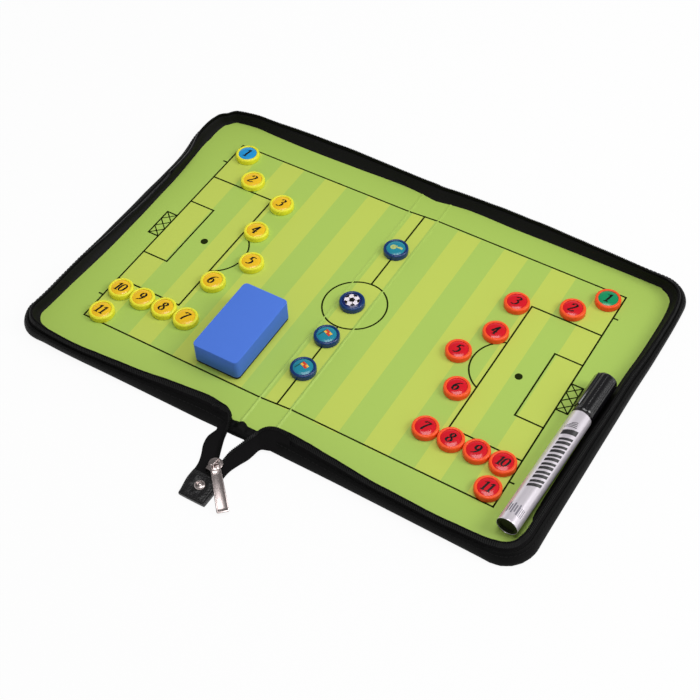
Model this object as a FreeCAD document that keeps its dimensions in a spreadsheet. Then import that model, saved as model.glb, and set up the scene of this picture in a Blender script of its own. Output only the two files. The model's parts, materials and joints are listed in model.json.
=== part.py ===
"""Zip-round folding tactics board, lying open: folder, printed steel pitch, counters, eraser, pen.

The frame has its origin on the underside at the middle of the spine, +X along the pitch towards
the right half, +Y away from the zip's tail and +Z up. Lengths are millimetres.
"""
import FreeCAD, Part
import math
import os
import Sketcher
from FreeCAD import Placement, Rotation, Vector

# Driving dimensions
SIZES = {
    # Folder, measured lying open
    "half_length": 222.0,
    "folder_width": 294.0,
    "corner_radius": 24.0,
    "spine_width": 25.8,
    "crease_gap": 0.3,
    "cover_thickness": 0.9,
    "board_thickness": 2.0,
    "steel_thickness": 0.4,
    "film_thickness": 0.5,
    "board_clearance": 0.3,
    "hem_width": 8.0,
    "hem_thickness": 1.2,
    # Soft wall and the zip on it
    "gusset_base": 9.5,
    "gusset_lean": 6.0,
    "gusset_top": 2.0,
    "gusset_drop": 2.4,
    "closing_gap": 0.8,
    "mitre_gap": 0.3,
    "end_round_radius": 9.0,
    "seam_gap": 0.1,
    "tape_thickness": 0.8,
    "tape_foot_gap": 0.2,
    "coil_width": 1.9,
    "coil_thickness": 1.4,
    "cut_overrun": 28.0,
    # Tail of the zip
    "tail_centre_x": -7.3,
    "tail_gap": 0.3,
    "tail_clearance": 0.3,
    "tail_tape_width": 12.0,
    "tail_left_reach": 9.5,
    "tail_left_top_width": 9.0,
    "tail_right_reach": 4.7,
    "tail_right_top_width": 13.5,
    "tail_fork_half_gap": 2.1,
    "tail_fork_length": 8.0,
    "tail_coil_width": 1.9,
    "tail_coil_height": 1.2,
    "slider_distance": 29.3,
    "tab_distance": 39.0,
    "tab_length": 22.5,
    "tab_width": 24.4,
    "tab_leather": 1.0,
    "tab_fit": 0.2,
    "tab_slot_depth": 8.0,
    "tab_corner_radius": 1.5,
    "rivet_distance": 10.0,
    "rivet_head_radius": 4.2,
    "rivet_head_height": 1.3,
    "rivet_rim_height": 0.4,
    "rivet_bevel": 1.6,
    "rivet_shank_radius": 1.6,
    "rivet_fit": 0.1,
    # Slider and pull
    "slider_radius": 5.4,
    "slider_plate": 0.9,
    "slider_tail_width": 8.4,
    "slider_tail_length": 6.6,
    "flange_thickness": 0.9,
    "flange_start": 1.0,
    "wedge_tip_distance": 1.5,
    "wedge_length": 3.1,
    "wedge_front_width": 1.8,
    "wedge_tip_width": 0.3,
    "crown_width": 1.2,
    "crown_thickness": 0.9,
    "crown_front": 3.0,
    "crown_rear": 2.8,
    "crown_round_radius": 1.4,
    "pull_bar_back": 0.8,
    "pull_bar_rise": 1.1,
    "pull_bar_width": 1.0,
    "pull_swing_room": 0.2,
    "pull_thickness": 1.0,
    "pull_ring_width": 7.4,
    "pull_hole_width": 5.5,
    "pull_hole_length": 4.8,
    "pull_end_width": 9.0,
    "pull_length": 40.0,
    "pull_rim": 1.1,
    "pull_recess": 0.3,
    "pull_corner_radius": 1.2,
    # Eraser
    "eraser_width": 39.9,
    "eraser_length": 71.5,
    "eraser_height": 19.5,
    "eraser_corner_radius": 3.7,
    "eraser_edge": 1.2,
    "felt_thickness": 2.0,
    "felt_inset": 0.4,
    # Marker pen
    "pen_side_inset": 25.5,
    "pen_end_inset": 21.9,
    "pen_rest_gap": 0.25,
    "barrel_radius": 8.2,
    "barrel_wall": 0.8,
    "barrel_length": 108.0,
    "barrel_shoulder": 1.2,
    "plug_recess": 0.7,
    "plug_length": 6.5,
    "plug_dish_depth": 0.8,
    "plug_dish_rim": 1.6,
    "pen_fit": 0.1,
    "pen_inner_gap": 0.3,
    "reservoir_radius": 6.9,
    "holder_length": 18.0,
    "collar_radius": 6.2,
    "collar_length": 10.0,
    "snout_length": 8.0,
    "snout_tip_radius": 3.4,
    "nib_radius": 2.1,
    "nib_stick_out": 5.0,
    "nib_bevel": 1.2,
    "cap_radius": 8.5,
    "cap_length": 40.0,
    "cap_gap": 0.3,
    "cap_bore_gap": 0.35,
    "cap_end_wall": 2.4,
    "cap_bevel": 1.6,
    "cap_skirt": 3.0,
    "flute_radius": 1.1,
    "flute_depth": 0.45,
    "flute_length": 34.0,
    "clip_width": 6.4,
    "clip_rise": 0.7,
    "clip_length": 33.0,
    # Counters
    "counter_diameter": 19.8,
    "counter_height": 5.0,
    "counter_bevel": 1.1,
    "counter_row_gap": 0.9,
    "core_diameter": 15.4,
    "core_height": 5.4,
    "core_bevel": 0.7,
    "counter_fit": 0.1,
    # Printed pitch, which the counters stand on
    "goal_line_margin": 44.0,
    "touchline_margin": 36.5,
    "print_shift": 1.0,
}

# Turns, in degrees
PEN_TURN = 2.3
PEN_ROLL = 28.0
PULL_SWIVEL = -47.5
PULL_DROOP = 4.0

FLUTE_COUNT = 10
COUNTER_SIDES = 20

# Where the eraser and the counters stand, as shares of half the pitch's length and half its width
ERASER_SHARE = (-0.3118, -0.63439)
YELLOW_SHARES = [
    (-0.933, 0.908),
    (-0.812, 0.686),
    (-0.606, 0.576),
    (-0.614, 0.253),
    (-0.526, -0.024),
    (-0.611, -0.312),
]
YELLOW_ROW_SHARE = (-0.591, -0.692)
YELLOW_LAST_SHARE = (-0.935, -0.928)
RED_SHARES = [
    (0.942, 0.899),
    (0.834, 0.699),
    (0.609, 0.564),
    (0.606, 0.257),
    (0.517, -0.013),
    (0.607, -0.301),
]
RED_ROW_SHARE = (0.594, -0.691)
RED_LAST_SHARE = (0.947, -0.908)
BALL_SHARE = (-0.013, 0.008)
OFFICIAL_SHARES = [(-0.004, 0.596), (-0.007, -0.344), (0.001, -0.665)]
ROW_COUNT = 4

doc = FreeCAD.newDocument("tactics_board")
sheet = doc.addObject("Spreadsheet::Sheet", "sizes")
for row, (alias, number) in enumerate(SIZES.items(), start=1):
    sheet.set(f"A{row}", alias)
    sheet.set(f"B{row}", str(number))
    sheet.setAlias(f"B{row}", alias)
doc.recompute()


class Size:
    """A length with its value and the sheet expression that gives it."""

    def __init__(self, value, text):
        self.value = value
        self.text = text

    def combine(self, other, sign, result):
        return Size(result, f"({self.text} {sign} {other.text})")

    def __add__(self, other):
        other = as_size(other)
        return self.combine(other, "+", self.value + other.value)

    def __sub__(self, other):
        other = as_size(other)
        return self.combine(other, "-", self.value - other.value)

    def __mul__(self, other):
        other = as_size(other)
        return self.combine(other, "*", self.value * other.value)

    def __truediv__(self, other):
        other = as_size(other)
        return self.combine(other, "/", self.value / other.value)

    def __neg__(self):
        return Size(-self.value, f"(-1 * {self.text})")


def as_size(number):
    return number if isinstance(number, Size) else Size(float(number), f"({number})")


def size(alias):
    return Size(float(sheet.get(alias)), f"sizes.{alias}")


class Arc:
    """An outline stretch that is an arc of this radius about this centre."""

    def __init__(self, radius, centre):
        self.radius = as_size(radius)
        self.centre = Vector(as_size(centre[0]).value, as_size(centre[1]).value, 0)


ZERO = as_size(0)


# Helpers that draw and build
def new_body(label):
    body = doc.addObject("PartDesign::Body", label)
    body.Label = label
    return body


def sketch_on(body, role, offset=ZERO):
    """A sketch on one of the body's own planes, moved along the plane's normal."""
    plane = [feature for feature in body.Origin.OriginFeatures if feature.Role == role][0]
    sketch = body.newObject("Sketcher::SketchObject", f"{body.Name}_sketch")
    sketch.AttachmentSupport = [(plane, "")]
    sketch.MapMode = "FlatFace"
    sketch.setExpression("AttachmentOffset.Base.z", offset.text)
    return sketch


def draw(sketch, corners, closed=True):
    """Lines and arcs through the corners; a corner is (x, y) or (x, y, Arc to the next corner)."""
    corners = [(as_size(c[0]), as_size(c[1])) + tuple(c[2:]) for c in corners]
    points = [Vector(c[0].value, c[1].value, 0) for c in corners]
    count = len(corners) if closed else len(corners) - 1
    first = sketch.GeometryCount
    ends = []
    for index in range(count):
        start = points[index]
        end = points[(index + 1) % len(points)]
        arc = corners[index][2] if len(corners[index]) > 2 else None
        ends.append((1, 2))
        if arc is None:
            sketch.addGeometry(Part.LineSegment(start, end), False)
            continue
        if (start - arc.centre).cross(end - arc.centre).z < 0:
            start, end = end, start
            ends[index] = (2, 1)
        middle = (start - arc.centre + end - arc.centre).normalize() * arc.radius.value
        sketch.addGeometry(Part.Arc(start, arc.centre + middle, end), False)
    for index in range(count if closed else count - 1):
        after = (index + 1) % count
        sketch.addConstraint(Sketcher.Constraint(
            "Coincident", first + index, ends[index][1], first + after, ends[after][0]))
    for index, corner in enumerate(corners):
        on = min(index, count - 1)
        end = ends[on][0] if on == index else ends[on][1]
        fix_point(sketch, first + on, end, corner[0], corner[1])
        if len(corner) > 2:
            number = sketch.addConstraint(Sketcher.Constraint("Radius", first + on, corner[2].radius.value))
            sketch.setExpression(f"Constraints[{number}]", corner[2].radius.text)


def fix_point(sketch, stretch, end, across, up):
    for kind, place in (("DistanceX", across), ("DistanceY", up)):
        number = sketch.addConstraint(Sketcher.Constraint(kind, -1, 1, stretch, end, place.value))
        sketch.setExpression(f"Constraints[{number}]", place.text)


def draw_circle(sketch, across, up, radius):
    across, up, radius = as_size(across), as_size(up), as_size(radius)
    centre = Vector(across.value, up.value, 0)
    ring = sketch.addGeometry(Part.Circle(centre, Vector(0, 0, 1), radius.value), False)
    fix_point(sketch, ring, 3, across, up)
    number = sketch.addConstraint(Sketcher.Constraint("Radius", ring, radius.value))
    sketch.setExpression(f"Constraints[{number}]", radius.text)


def rectangle(left, low, right, high):
    return [(left, low), (right, low), (right, high), (left, high)]


def rounded_rectangle(left, low, right, high, radius):
    inner_left, inner_right = left + radius, right - radius
    inner_low, inner_high = low + radius, high - radius
    return [
        (inner_left, low),
        (inner_right, low, Arc(radius, (inner_right, inner_low))),
        (right, inner_low),
        (right, inner_high, Arc(radius, (inner_right, inner_high))),
        (inner_right, high),
        (inner_left, high, Arc(radius, (inner_left, inner_high))),
        (left, inner_high),
        (left, inner_low, Arc(radius, (inner_left, inner_low))),
    ]


def pad(body, sketch, length, both_ways=False):
    feature = body.newObject("PartDesign::Pad", f"{body.Name}_pad")
    feature.Profile = sketch
    feature.Midplane = both_ways
    feature.setExpression("Length", length.text)
    return feature


def pocket(body, sketch, length=None, forward=False, both_ways=False):
    """Cut against the sketch's normal, or along it when forward; all the way without a length."""
    feature = body.newObject("PartDesign::Pocket", f"{body.Name}_pocket")
    feature.Profile = sketch
    feature.Reversed = forward
    feature.Midplane = both_ways
    if length is None:
        feature.Type = "ThroughAll"
    else:
        feature.setExpression("Length", length.text)
    return feature


def bevel_top(body, solid, width, inside=ZERO):
    """Bevel the edges round a pad's top, leaving those nearer to its axis than inside."""
    doc.recompute()
    top = solid.Shape.BoundBox.ZMax
    rim = []
    for number, line in enumerate(solid.Shape.Edges, start=1):
        middle = line.CenterOfMass
        if line.BoundBox.ZMin > top - width.value and math.hypot(middle.x, middle.y) > inside.value:
            rim.append(f"Edge{number}")
    feature = body.newObject("PartDesign::Chamfer", f"{body.Name}_bevel")
    feature.Base = (solid, rim)
    feature.setExpression("Size", width.text)


def revolve(body, corners):
    """A solid of revolution about the body's Z axis from corners given as (radius, height)."""
    sketch = sketch_on(body, "XZ_Plane")
    draw(sketch, corners)
    feature = body.newObject("PartDesign::Revolution", f"{body.Name}_revolution")
    feature.Profile = sketch
    feature.ReferenceAxis = (sketch, ["V_Axis"])
    feature.Angle = 360
    return feature


def sweep(body, profile, path):
    feature = body.newObject("PartDesign::AdditivePipe", f"{body.Name}_pipe")
    feature.Profile = profile
    feature.Spine = (path, [])
    return feature


def place(thing, across=ZERO, along=ZERO, up=ZERO, turn=Rotation()):
    thing.Placement = Placement(Vector(0, 0, 0), turn)
    for axis, distance in (("x", across), ("y", along), ("z", up)):
        thing.setExpression(f"Placement.Base.{axis}", as_size(distance).text)


def mirrored(source, label):
    """The right half's piece, as the left one's mirror image across the spine."""
    copy = doc.addObject("Part::Mirroring", label)
    copy.Label = label
    copy.Source = source
    copy.Base = (0, 0, 0)
    copy.Normal = (1, 0, 0)
    return copy


# Levels and lines that several pieces share
crease = size("spine_width") / 2
half_start = crease + size("crease_gap") / 2
spine_end = crease - size("crease_gap") / 2
edge_y = size("folder_width") / 2
half_pitch = size("half_length") - size("goal_line_margin")
half_wide = edge_y - size("touchline_margin")
board_level = size("cover_thickness")
steel_level = board_level + size("board_thickness")
film_level = steel_level + size("steel_thickness")
pitch_level = film_level + size("film_thickness")
board_inset = size("gusset_base") + size("board_clearance")
tape_top = pitch_level + crease - size("closing_gap")
gusset_top_level = tape_top - size("gusset_drop")
overrun = size("cut_overrun")

nodes = []


# Flat layers of the folder
def half_layer(label, inset, level, thickness):
    """A flat layer of the left half, with its two outer corners rounded, and its mirror image."""
    body = new_body(f"left_{label}")
    radius = size("corner_radius") - inset
    outer = -(size("half_length") - inset)
    side = edge_y - inset
    turn_x = outer + radius
    turn_y = side - radius
    sketch = sketch_on(body, "XY_Plane")
    draw(sketch, [
        (-half_start, -side),
        (-half_start, side),
        (turn_x, side, Arc(radius, (turn_x, turn_y))),
        (outer, turn_y),
        (outer, -turn_y, Arc(radius, (turn_x, -turn_y))),
        (turn_x, -side),
    ])
    pad(body, sketch, thickness)
    place(body, up=level)
    nodes.extend([body, mirrored(body, f"right_{label}")])


def spine_layer(label, inset, level, thickness):
    body = new_body(f"spine_{label}")
    sketch = sketch_on(body, "XY_Plane")
    draw(sketch, rectangle(-spine_end, -(edge_y - inset), spine_end, edge_y - inset))
    pad(body, sketch, thickness)
    place(body, up=level)
    nodes.append(body)
    return body


def flat_layers():
    half_layer("cover", ZERO, ZERO, size("cover_thickness"))
    half_layer("board", board_inset, board_level, size("board_thickness"))
    half_layer("steel_sheet", board_inset, steel_level, size("steel_thickness"))
    half_layer("pitch_sheet", board_inset, film_level, size("film_thickness"))
    cover = spine_layer("cover", ZERO, ZERO, size("cover_thickness"))
    hem = sketch_on(cover, "XY_Plane", size("cover_thickness"))
    draw(hem, rectangle(-spine_end, -edge_y, spine_end, size("hem_width") - edge_y))
    pad(cover, hem, size("hem_thickness"))
    spine_layer("board", board_inset, board_level, size("board_thickness"))
    spine_layer("steel_strip", board_inset, steel_level, size("steel_thickness"))
    spine_layer("pitch_strip", board_inset, film_level, size("film_thickness"))


# Soft wall round each half, its zip tape and its coil
def inner_face(level):
    """How far in from the folder's edge the gusset's inner face lies at a level."""
    rise = gusset_top_level - board_level
    fall = size("gusset_base") - size("gusset_lean") - size("gusset_top")
    return size("gusset_base") - fall * (level - board_level) / rise


def gusset_profile():
    """The gusset's section at the far side: an upright foot that curves in to a narrow top."""
    rise = gusset_top_level - board_level
    lean = size("gusset_lean")
    radius = (lean * lean + rise * rise) / (lean * 2)
    return [
        (edge_y - size("gusset_base"), board_level),
        (edge_y, board_level, Arc(radius, (edge_y - radius, board_level))),
        (edge_y - lean, gusset_top_level),
        (edge_y - lean - size("gusset_top"), gusset_top_level),
    ]


def strip_profile(low, high, start, thickness):
    """A strip that lies along the gusset's inner face, from one level to another."""
    near_low = edge_y - inner_face(low) - start
    near_high = edge_y - inner_face(high) - start
    return [
        (near_low, low),
        (near_high, high),
        (near_high - thickness, high),
        (near_low - thickness, low),
    ]


def wall_piece(label, profile):
    """A section run round three sides of the left half, mitred at the far crease."""
    body = new_body(f"left_{label}")
    radius = size("corner_radius")
    outer = -size("half_length")
    turn_x = outer + radius
    turn_y = edge_y - radius
    path = sketch_on(body, "XY_Plane")
    draw(path, [
        (-half_start, edge_y),
        (turn_x, edge_y, Arc(radius, (turn_x, turn_y))),
        (outer, turn_y),
        (outer, -turn_y, Arc(radius, (turn_x, -turn_y))),
        (turn_x, -edge_y),
        (-half_start, -edge_y),
    ], closed=False)
    section = sketch_on(body, "YZ_Plane", -half_start)
    draw(section, profile)
    sweep(body, section, path)
    mitre = sketch_on(body, "XZ_Plane")
    mitre_start = half_start + size("mitre_gap")
    draw(mitre, [
        (overrun - mitre_start, pitch_level),
        (overrun - mitre_start, pitch_level + overrun),
        (-mitre_start - overrun, pitch_level + overrun),
        (-mitre_start, pitch_level),
    ])
    pocket(body, mitre, edge_y + overrun)
    rounding = sketch_on(body, "XZ_Plane")
    bend = size("end_round_radius")
    draw(rounding, [
        (-half_start - bend, tape_top, Arc(bend, (-half_start - bend, tape_top - bend))),
        (-half_start, tape_top - bend),
        (overrun - half_start, tape_top - bend),
        (overrun - half_start, tape_top + overrun),
        (-half_start - bend, tape_top + overrun),
    ])
    pocket(body, rounding, edge_y + overrun, forward=True)
    nodes.extend([body, mirrored(body, f"right_{label}")])


def spine_end_gusset():
    """The soft wall across the far end of the spine, cut to fold inside the halves' walls."""
    body = new_body("spine_end_gusset")
    section = sketch_on(body, "YZ_Plane")
    draw(section, gusset_profile())
    pad(body, section, spine_end * 2, both_ways=True)
    for side in (1, -1):
        mitre = sketch_on(body, "XZ_Plane")
        start = spine_end - size("mitre_gap")
        draw(mitre, [
            (start * side, pitch_level),
            ((start + overrun) * side, pitch_level),
            ((start + overrun) * side, pitch_level + overrun),
            ((start - overrun) * side, pitch_level + overrun),
        ])
        pocket(body, mitre, both_ways=True)
    nodes.append(body)


def walls():
    tape = size("tape_thickness")
    seam = size("seam_gap")
    tape_foot = pitch_level + size("tape_foot_gap")
    coil_start = -size("coil_thickness")
    wall_piece("gusset", gusset_profile())
    wall_piece("zip_tape", strip_profile(tape_foot, tape_top, seam, tape))
    wall_piece("zip_coil", strip_profile(
        tape_top - size("coil_width"), tape_top, coil_start, size("coil_thickness")))
    spine_end_gusset()


# Tail of the zip
tail_x = size("tail_centre_x")
slider_y = -(edge_y + size("slider_distance"))
tab_y = -(edge_y + size("tab_distance"))
tail_top_y = -(edge_y + size("tail_clearance"))
tail_level = size("slider_plate") + size("tail_clearance")
tail_tape_top = tail_level + size("tape_thickness")
slider_roof = tail_tape_top + size("tail_coil_height") + size("tail_clearance")
slider_top = slider_roof + size("slider_plate")
tab_top = tail_level + size("tape_thickness") + size("tab_fit") + size("tab_leather")


def tail_strip(side, end_y, width, reach, top_width):
    """A strip along one tape's inner edge: side by side at the slider, forked towards the folder."""
    inner = tail_x + size("tail_gap") / 2 * side
    fork = tail_x + size("tail_fork_half_gap") * side
    top = tail_x + reach * side
    fork_y = slider_y + size("tail_fork_length")
    return [
        (inner, end_y),
        (inner, slider_y),
        (fork, fork_y),
        (top, tail_top_y),
        (top + top_width * side, tail_top_y),
        (fork + width * side, fork_y),
        (inner + width * side, slider_y),
        (inner + width * side, end_y),
    ]


def tail_tapes():
    slot_end = tab_y - size("tab_slot_depth") + size("tab_fit")
    for label, side in (("left", -1), ("right", 1)):
        body = new_body(f"zip_tail_{label}_tape")
        sketch = sketch_on(body, "XY_Plane")
        reach = size(f"tail_{label}_reach")
        top_width = size(f"tail_{label}_top_width")
        draw(sketch, tail_strip(side, slot_end, size("tail_tape_width"), reach, top_width))
        pad(body, sketch, size("tape_thickness"))
        place(body, up=tail_level)
        nodes.append(body)


def tail_coils():
    strands = []
    width = size("tail_coil_width")
    for label, side in (("left", -1), ("right", 1)):
        body = new_body(f"{label}_tail_coil")
        sketch = sketch_on(body, "XY_Plane")
        draw(sketch, tail_strip(
            side, tab_y + size("tab_fit"), width, size(f"tail_{label}_reach"), width))
        pad(body, sketch, size("tail_coil_height"))
        place(body, up=tail_tape_top)
        strands.append(body)
    pair = doc.addObject("Part::Compound", "zip_tail_coils")
    pair.Label = "zip_tail_coils"
    pair.Links = strands
    nodes.append(pair)


def end_tab():
    """A leather tab folded over the tapes' ends, with the slot that takes them."""
    body = new_body("zip_end_tab")
    half = size("tab_width") / 2
    end_y = -size("tab_length")
    sketch = sketch_on(body, "XY_Plane")
    draw(sketch, rounded_rectangle(-half, end_y, half, ZERO, size("tab_corner_radius")))
    pad(body, sketch, tab_top)
    slot = sketch_on(body, "XZ_Plane")
    reach = size("tail_gap") / 2 + size("tail_tape_width") + size("tab_fit")
    draw(slot, rectangle(-reach, tail_level - size("tab_fit"), reach, tail_tape_top + size("tab_fit")))
    pocket(body, slot, size("tab_slot_depth"), forward=True)
    hole = sketch_on(body, "XY_Plane")
    draw_circle(hole, ZERO, -size("rivet_distance"), size("rivet_shank_radius") + size("rivet_fit"))
    pocket(body, hole, forward=True)
    place(body, tail_x, tab_y)
    nodes.append(body)


def end_rivet():
    """A tubular rivet with a low bevelled head."""
    body = new_body("zip_end_rivet")
    head = size("rivet_head_radius")
    rim_top = tab_top + size("rivet_rim_height")
    revolve(body, [
        (ZERO, ZERO),
        (size("rivet_shank_radius"), ZERO),
        (size("rivet_shank_radius"), tab_top),
        (head, tab_top),
        (head, rim_top),
        (head - size("rivet_bevel"), tab_top + size("rivet_head_height")),
        (ZERO, tab_top + size("rivet_head_height")),
    ])
    place(body, tail_x, tab_y - size("rivet_distance"))
    nodes.append(body)


# Slider and pull
pull_bar_y = slider_y - size("pull_bar_back")
pull_bar_level = slider_top + size("pull_bar_rise")


def slider_plan():
    """The plates' plan: a round nose over the fork and a straight tail over the closed chain."""
    radius = size("slider_radius")
    half = size("slider_tail_width") / 2
    meet = -((radius * radius - half * half).value ** 0.5)
    meet_text = f"(-1 * sqrt({(radius * radius - half * half).text}))"
    neck = Size(meet, meet_text)
    tail = -size("slider_tail_length")
    return [
        (-half, tail),
        (half, tail),
        (half, neck, Arc(radius, (ZERO, ZERO))),
        (ZERO, radius, Arc(radius, (ZERO, ZERO))),
        (-half, neck),
    ]


def slider():
    body = new_body("zip_slider")
    for level in (ZERO, slider_roof):
        plate = sketch_on(body, "XY_Plane", level)
        draw(plate, slider_plan())
        pad(body, plate, size("slider_plate"))
        if level is ZERO:
            slider_wedge(body)
    half = size("slider_tail_width") / 2
    flange_level = tail_tape_top + size("tail_clearance")
    for side in (1, -1):
        flange = sketch_on(body, "XY_Plane", flange_level)
        inner = (half - size("flange_thickness")) * side
        draw(flange, rectangle(inner, -size("slider_tail_length"), half * side, -size("flange_start")))
        pad(body, flange, slider_top - flange_level)
    slider_crown(body)
    place(body, tail_x, slider_y)
    nodes.append(body)


def slider_wedge(body):
    """The wedge in the nose that parts the two coils and carries the upper plate."""
    wedge = sketch_on(body, "XY_Plane")
    front_y = size("wedge_tip_distance") + size("wedge_length")
    front = size("wedge_front_width") / 2
    tip = size("wedge_tip_width") / 2
    draw(wedge, [
        (-tip, size("wedge_tip_distance")),
        (tip, size("wedge_tip_distance")),
        (front, front_y),
        (-front, front_y),
    ])
    pad(body, wedge, slider_top)


def slider_crown(body):
    """The bridge over the upper plate, which the pull's ring hangs on."""
    crown = sketch_on(body, "YZ_Plane")
    wall = size("crown_thickness")
    bend = size("crown_round_radius")
    swing = (size("pull_bar_width") + size("pull_thickness")) / 2 + size("pull_swing_room")
    under = pull_bar_level + swing
    front, rear = size("crown_front"), -size("crown_rear")
    top = under + wall
    draw(crown, [
        (rear - wall, slider_roof),
        (rear, slider_roof),
        (rear, under),
        (front, under),
        (front, slider_roof),
        (front + wall, slider_roof),
        (front + wall, top - bend, Arc(bend, (front + wall - bend, top - bend))),
        (front + wall - bend, top),
        (rear - wall + bend, top, Arc(bend, (rear - wall + bend, top - bend))),
        (rear - wall, top - bend),
    ])
    pad(body, crown, size("crown_width"), both_ways=True)


def pull():
    """A flat pull with a ring at one end and a sunk panel, flaring to its free end."""
    body = new_body("zip_pull")
    bar = size("pull_bar_width") / 2
    ring = size("pull_ring_width") / 2
    end = size("pull_end_width") / 2
    hole = size("pull_hole_width") / 2
    length = size("pull_length")
    rim = size("pull_rim")
    corner = size("pull_corner_radius")
    hole_end = bar + size("pull_hole_length")
    bottom = -(size("pull_thickness") / 2)
    plate = sketch_on(body, "XY_Plane", bottom)
    draw(plate, [
        (-bar, -ring),
        (hole_end, -ring),
        (length - corner, -end, Arc(corner, (length - corner, corner - end))),
        (length, corner - end),
        (length, end - corner, Arc(corner, (length - corner, end - corner))),
        (length - corner, end),
        (hole_end, ring),
        (-bar, ring),
    ])
    draw(plate, rectangle(bar, -hole, hole_end, hole))
    pad(body, plate, size("pull_thickness"))
    panel = sketch_on(body, "XY_Plane", -bottom)
    draw(panel, [
        (hole_end + rim, rim - ring),
        (length - rim, rim - end),
        (length - rim, end - rim),
        (hole_end + rim, ring - rim),
    ])
    pocket(body, panel, size("pull_recess"))
    turn = Rotation(Vector(0, 0, 1), PULL_SWIVEL) * Rotation(Vector(0, 1, 0), PULL_DROOP)
    place(body, tail_x, pull_bar_y, pull_bar_level, turn)
    nodes.append(body)


def zip_tail():
    tail_tapes()
    tail_coils()
    end_tab()
    end_rivet()
    slider()
    pull()


# Eraser
def eraser():
    half_width = size("eraser_width") / 2
    half_length = size("eraser_length") / 2
    felt_thickness = size("felt_thickness")
    inset = size("felt_inset")
    corner = size("eraser_corner_radius")
    foam = new_body("eraser_foam")
    block = sketch_on(foam, "XY_Plane")
    draw(block, rounded_rectangle(-half_width, -half_length, half_width, half_length, corner))
    solid = pad(foam, block, size("eraser_height") - felt_thickness)
    bevel_top(foam, solid, size("eraser_edge"))
    across = half_pitch * ERASER_SHARE[0]
    along = half_wide * ERASER_SHARE[1]
    place(foam, across, along, pitch_level + felt_thickness)
    felt = new_body("eraser_felt")
    layer = sketch_on(felt, "XY_Plane")
    draw(layer, rounded_rectangle(
        inset - half_width, inset - half_length, half_width - inset, half_length - inset, corner - inset))
    pad(felt, layer, felt_thickness)
    place(felt, across, along, pitch_level)
    nodes.extend([foam, felt])


# Marker pen, modelled along its own axis from the plug to the cap
holder_shoulder = size("barrel_length") - size("barrel_wall") - size("pen_fit")
holder_start = holder_shoulder - size("holder_length")


def pen_place(body):
    turn = (Rotation(Vector(0, 0, 1), -PEN_TURN) * Rotation(Vector(1, 0, 0), -90)
            * Rotation(Vector(0, 0, 1), PEN_ROLL))
    axis_level = pitch_level + size("cap_radius") + size("pen_rest_gap")
    across = size("half_length") - size("pen_side_inset")
    along = size("pen_end_inset") - edge_y
    place(body, across, along, axis_level, turn)
    nodes.append(body)


def barrel():
    """A thin drawn tube whose front is crimped in over the nib holder."""
    body = new_body("pen_barrel")
    outer = size("barrel_radius")
    wall = size("barrel_wall")
    length = size("barrel_length")
    lip = size("collar_radius") + size("pen_fit")
    bend = size("barrel_shoulder")
    revolve(body, [
        (outer - wall, ZERO),
        (outer, ZERO),
        (outer, length - bend),
        (outer - bend, length),
        (lip, length),
        (lip, length - wall),
        (outer - wall, length - wall),
    ])
    pen_place(body)


def end_plug():
    body = new_body("pen_end_plug")
    radius = size("barrel_radius") - size("barrel_wall") - size("pen_fit")
    face = size("plug_recess")
    dish = radius - size("plug_dish_rim")
    inner = face + size("plug_length")
    revolve(body, [
        (ZERO, face + size("plug_dish_depth")),
        (dish, face + size("plug_dish_depth")),
        (dish, face),
        (radius, face),
        (radius, inner),
        (ZERO, inner),
    ])
    pen_place(body)


def reservoir():
    body = new_body("pen_ink_reservoir")
    start = size("plug_recess") + size("plug_length") + size("pen_inner_gap")
    end = holder_start - size("pen_inner_gap")
    revolve(body, rectangle(ZERO, start, size("reservoir_radius"), end))
    pen_place(body)


def nib_holder():
    """The front plug: a flange inside the barrel, the collar that the cap grips, and a snout."""
    body = new_body("pen_nib_holder")
    inside = size("barrel_radius") - size("barrel_wall") - size("pen_fit")
    collar_end = size("barrel_length") + size("collar_length")
    snout_end = collar_end + size("snout_length")
    bore = size("nib_radius") + size("pen_fit")
    revolve(body, [
        (bore, holder_start),
        (inside, holder_start),
        (inside, holder_shoulder),
        (size("collar_radius"), holder_shoulder),
        (size("collar_radius"), collar_end),
        (size("snout_tip_radius"), snout_end),
        (bore, snout_end),
    ])
    pen_place(body)


def nib():
    body = new_body("pen_nib")
    radius = size("nib_radius")
    bevel = size("nib_bevel")
    end = size("barrel_length") + size("collar_length") + size("snout_length") + size("nib_stick_out")
    revolve(body, [
        (ZERO, holder_start),
        (radius, holder_start),
        (radius, end - bevel),
        (radius - bevel, end),
        (ZERO, end),
    ])
    pen_place(body)


def cap():
    """A push-on cap with long flutes, a plain skirt and a flat raised strip down one side."""
    body = new_body("pen_cap")
    radius = size("cap_radius")
    start = size("barrel_length") + size("cap_gap")
    end = size("barrel_length") + size("cap_length")
    bore = size("collar_radius") + size("cap_bore_gap")
    bore_end = end - size("cap_end_wall")
    bend = size("cap_bevel")
    revolve(body, [
        (bore, start),
        (radius, start),
        (radius, end - bend),
        (radius - bend, end),
        (ZERO, end),
        (ZERO, bore_end),
        (bore, bore_end),
    ])
    flute = sketch_on(body, "XY_Plane", start + size("cap_skirt"))
    draw_circle(flute, radius + size("flute_radius") - size("flute_depth"), ZERO, size("flute_radius"))
    cut = pocket(body, flute, size("flute_length"), forward=True)
    ring = body.newObject("PartDesign::PolarPattern", "pen_cap_flutes")
    ring.Originals = [cut]
    ring.Axis = (flute, ["N_Axis"])
    ring.Angle = 360
    ring.Occurrences = FLUTE_COUNT
    body.Tip = ring
    strip = sketch_on(body, "XY_Plane", end - bend - size("clip_length"))
    half = size("clip_width") / 2
    inside = bore + size("cap_bore_gap")
    draw(strip, rectangle(-radius - size("clip_rise"), -half, -inside, half))
    pad(body, strip, size("clip_length"))
    pen_place(body)


def pen():
    barrel()
    end_plug()
    reservoir()
    nib_holder()
    nib()
    cap()


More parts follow.
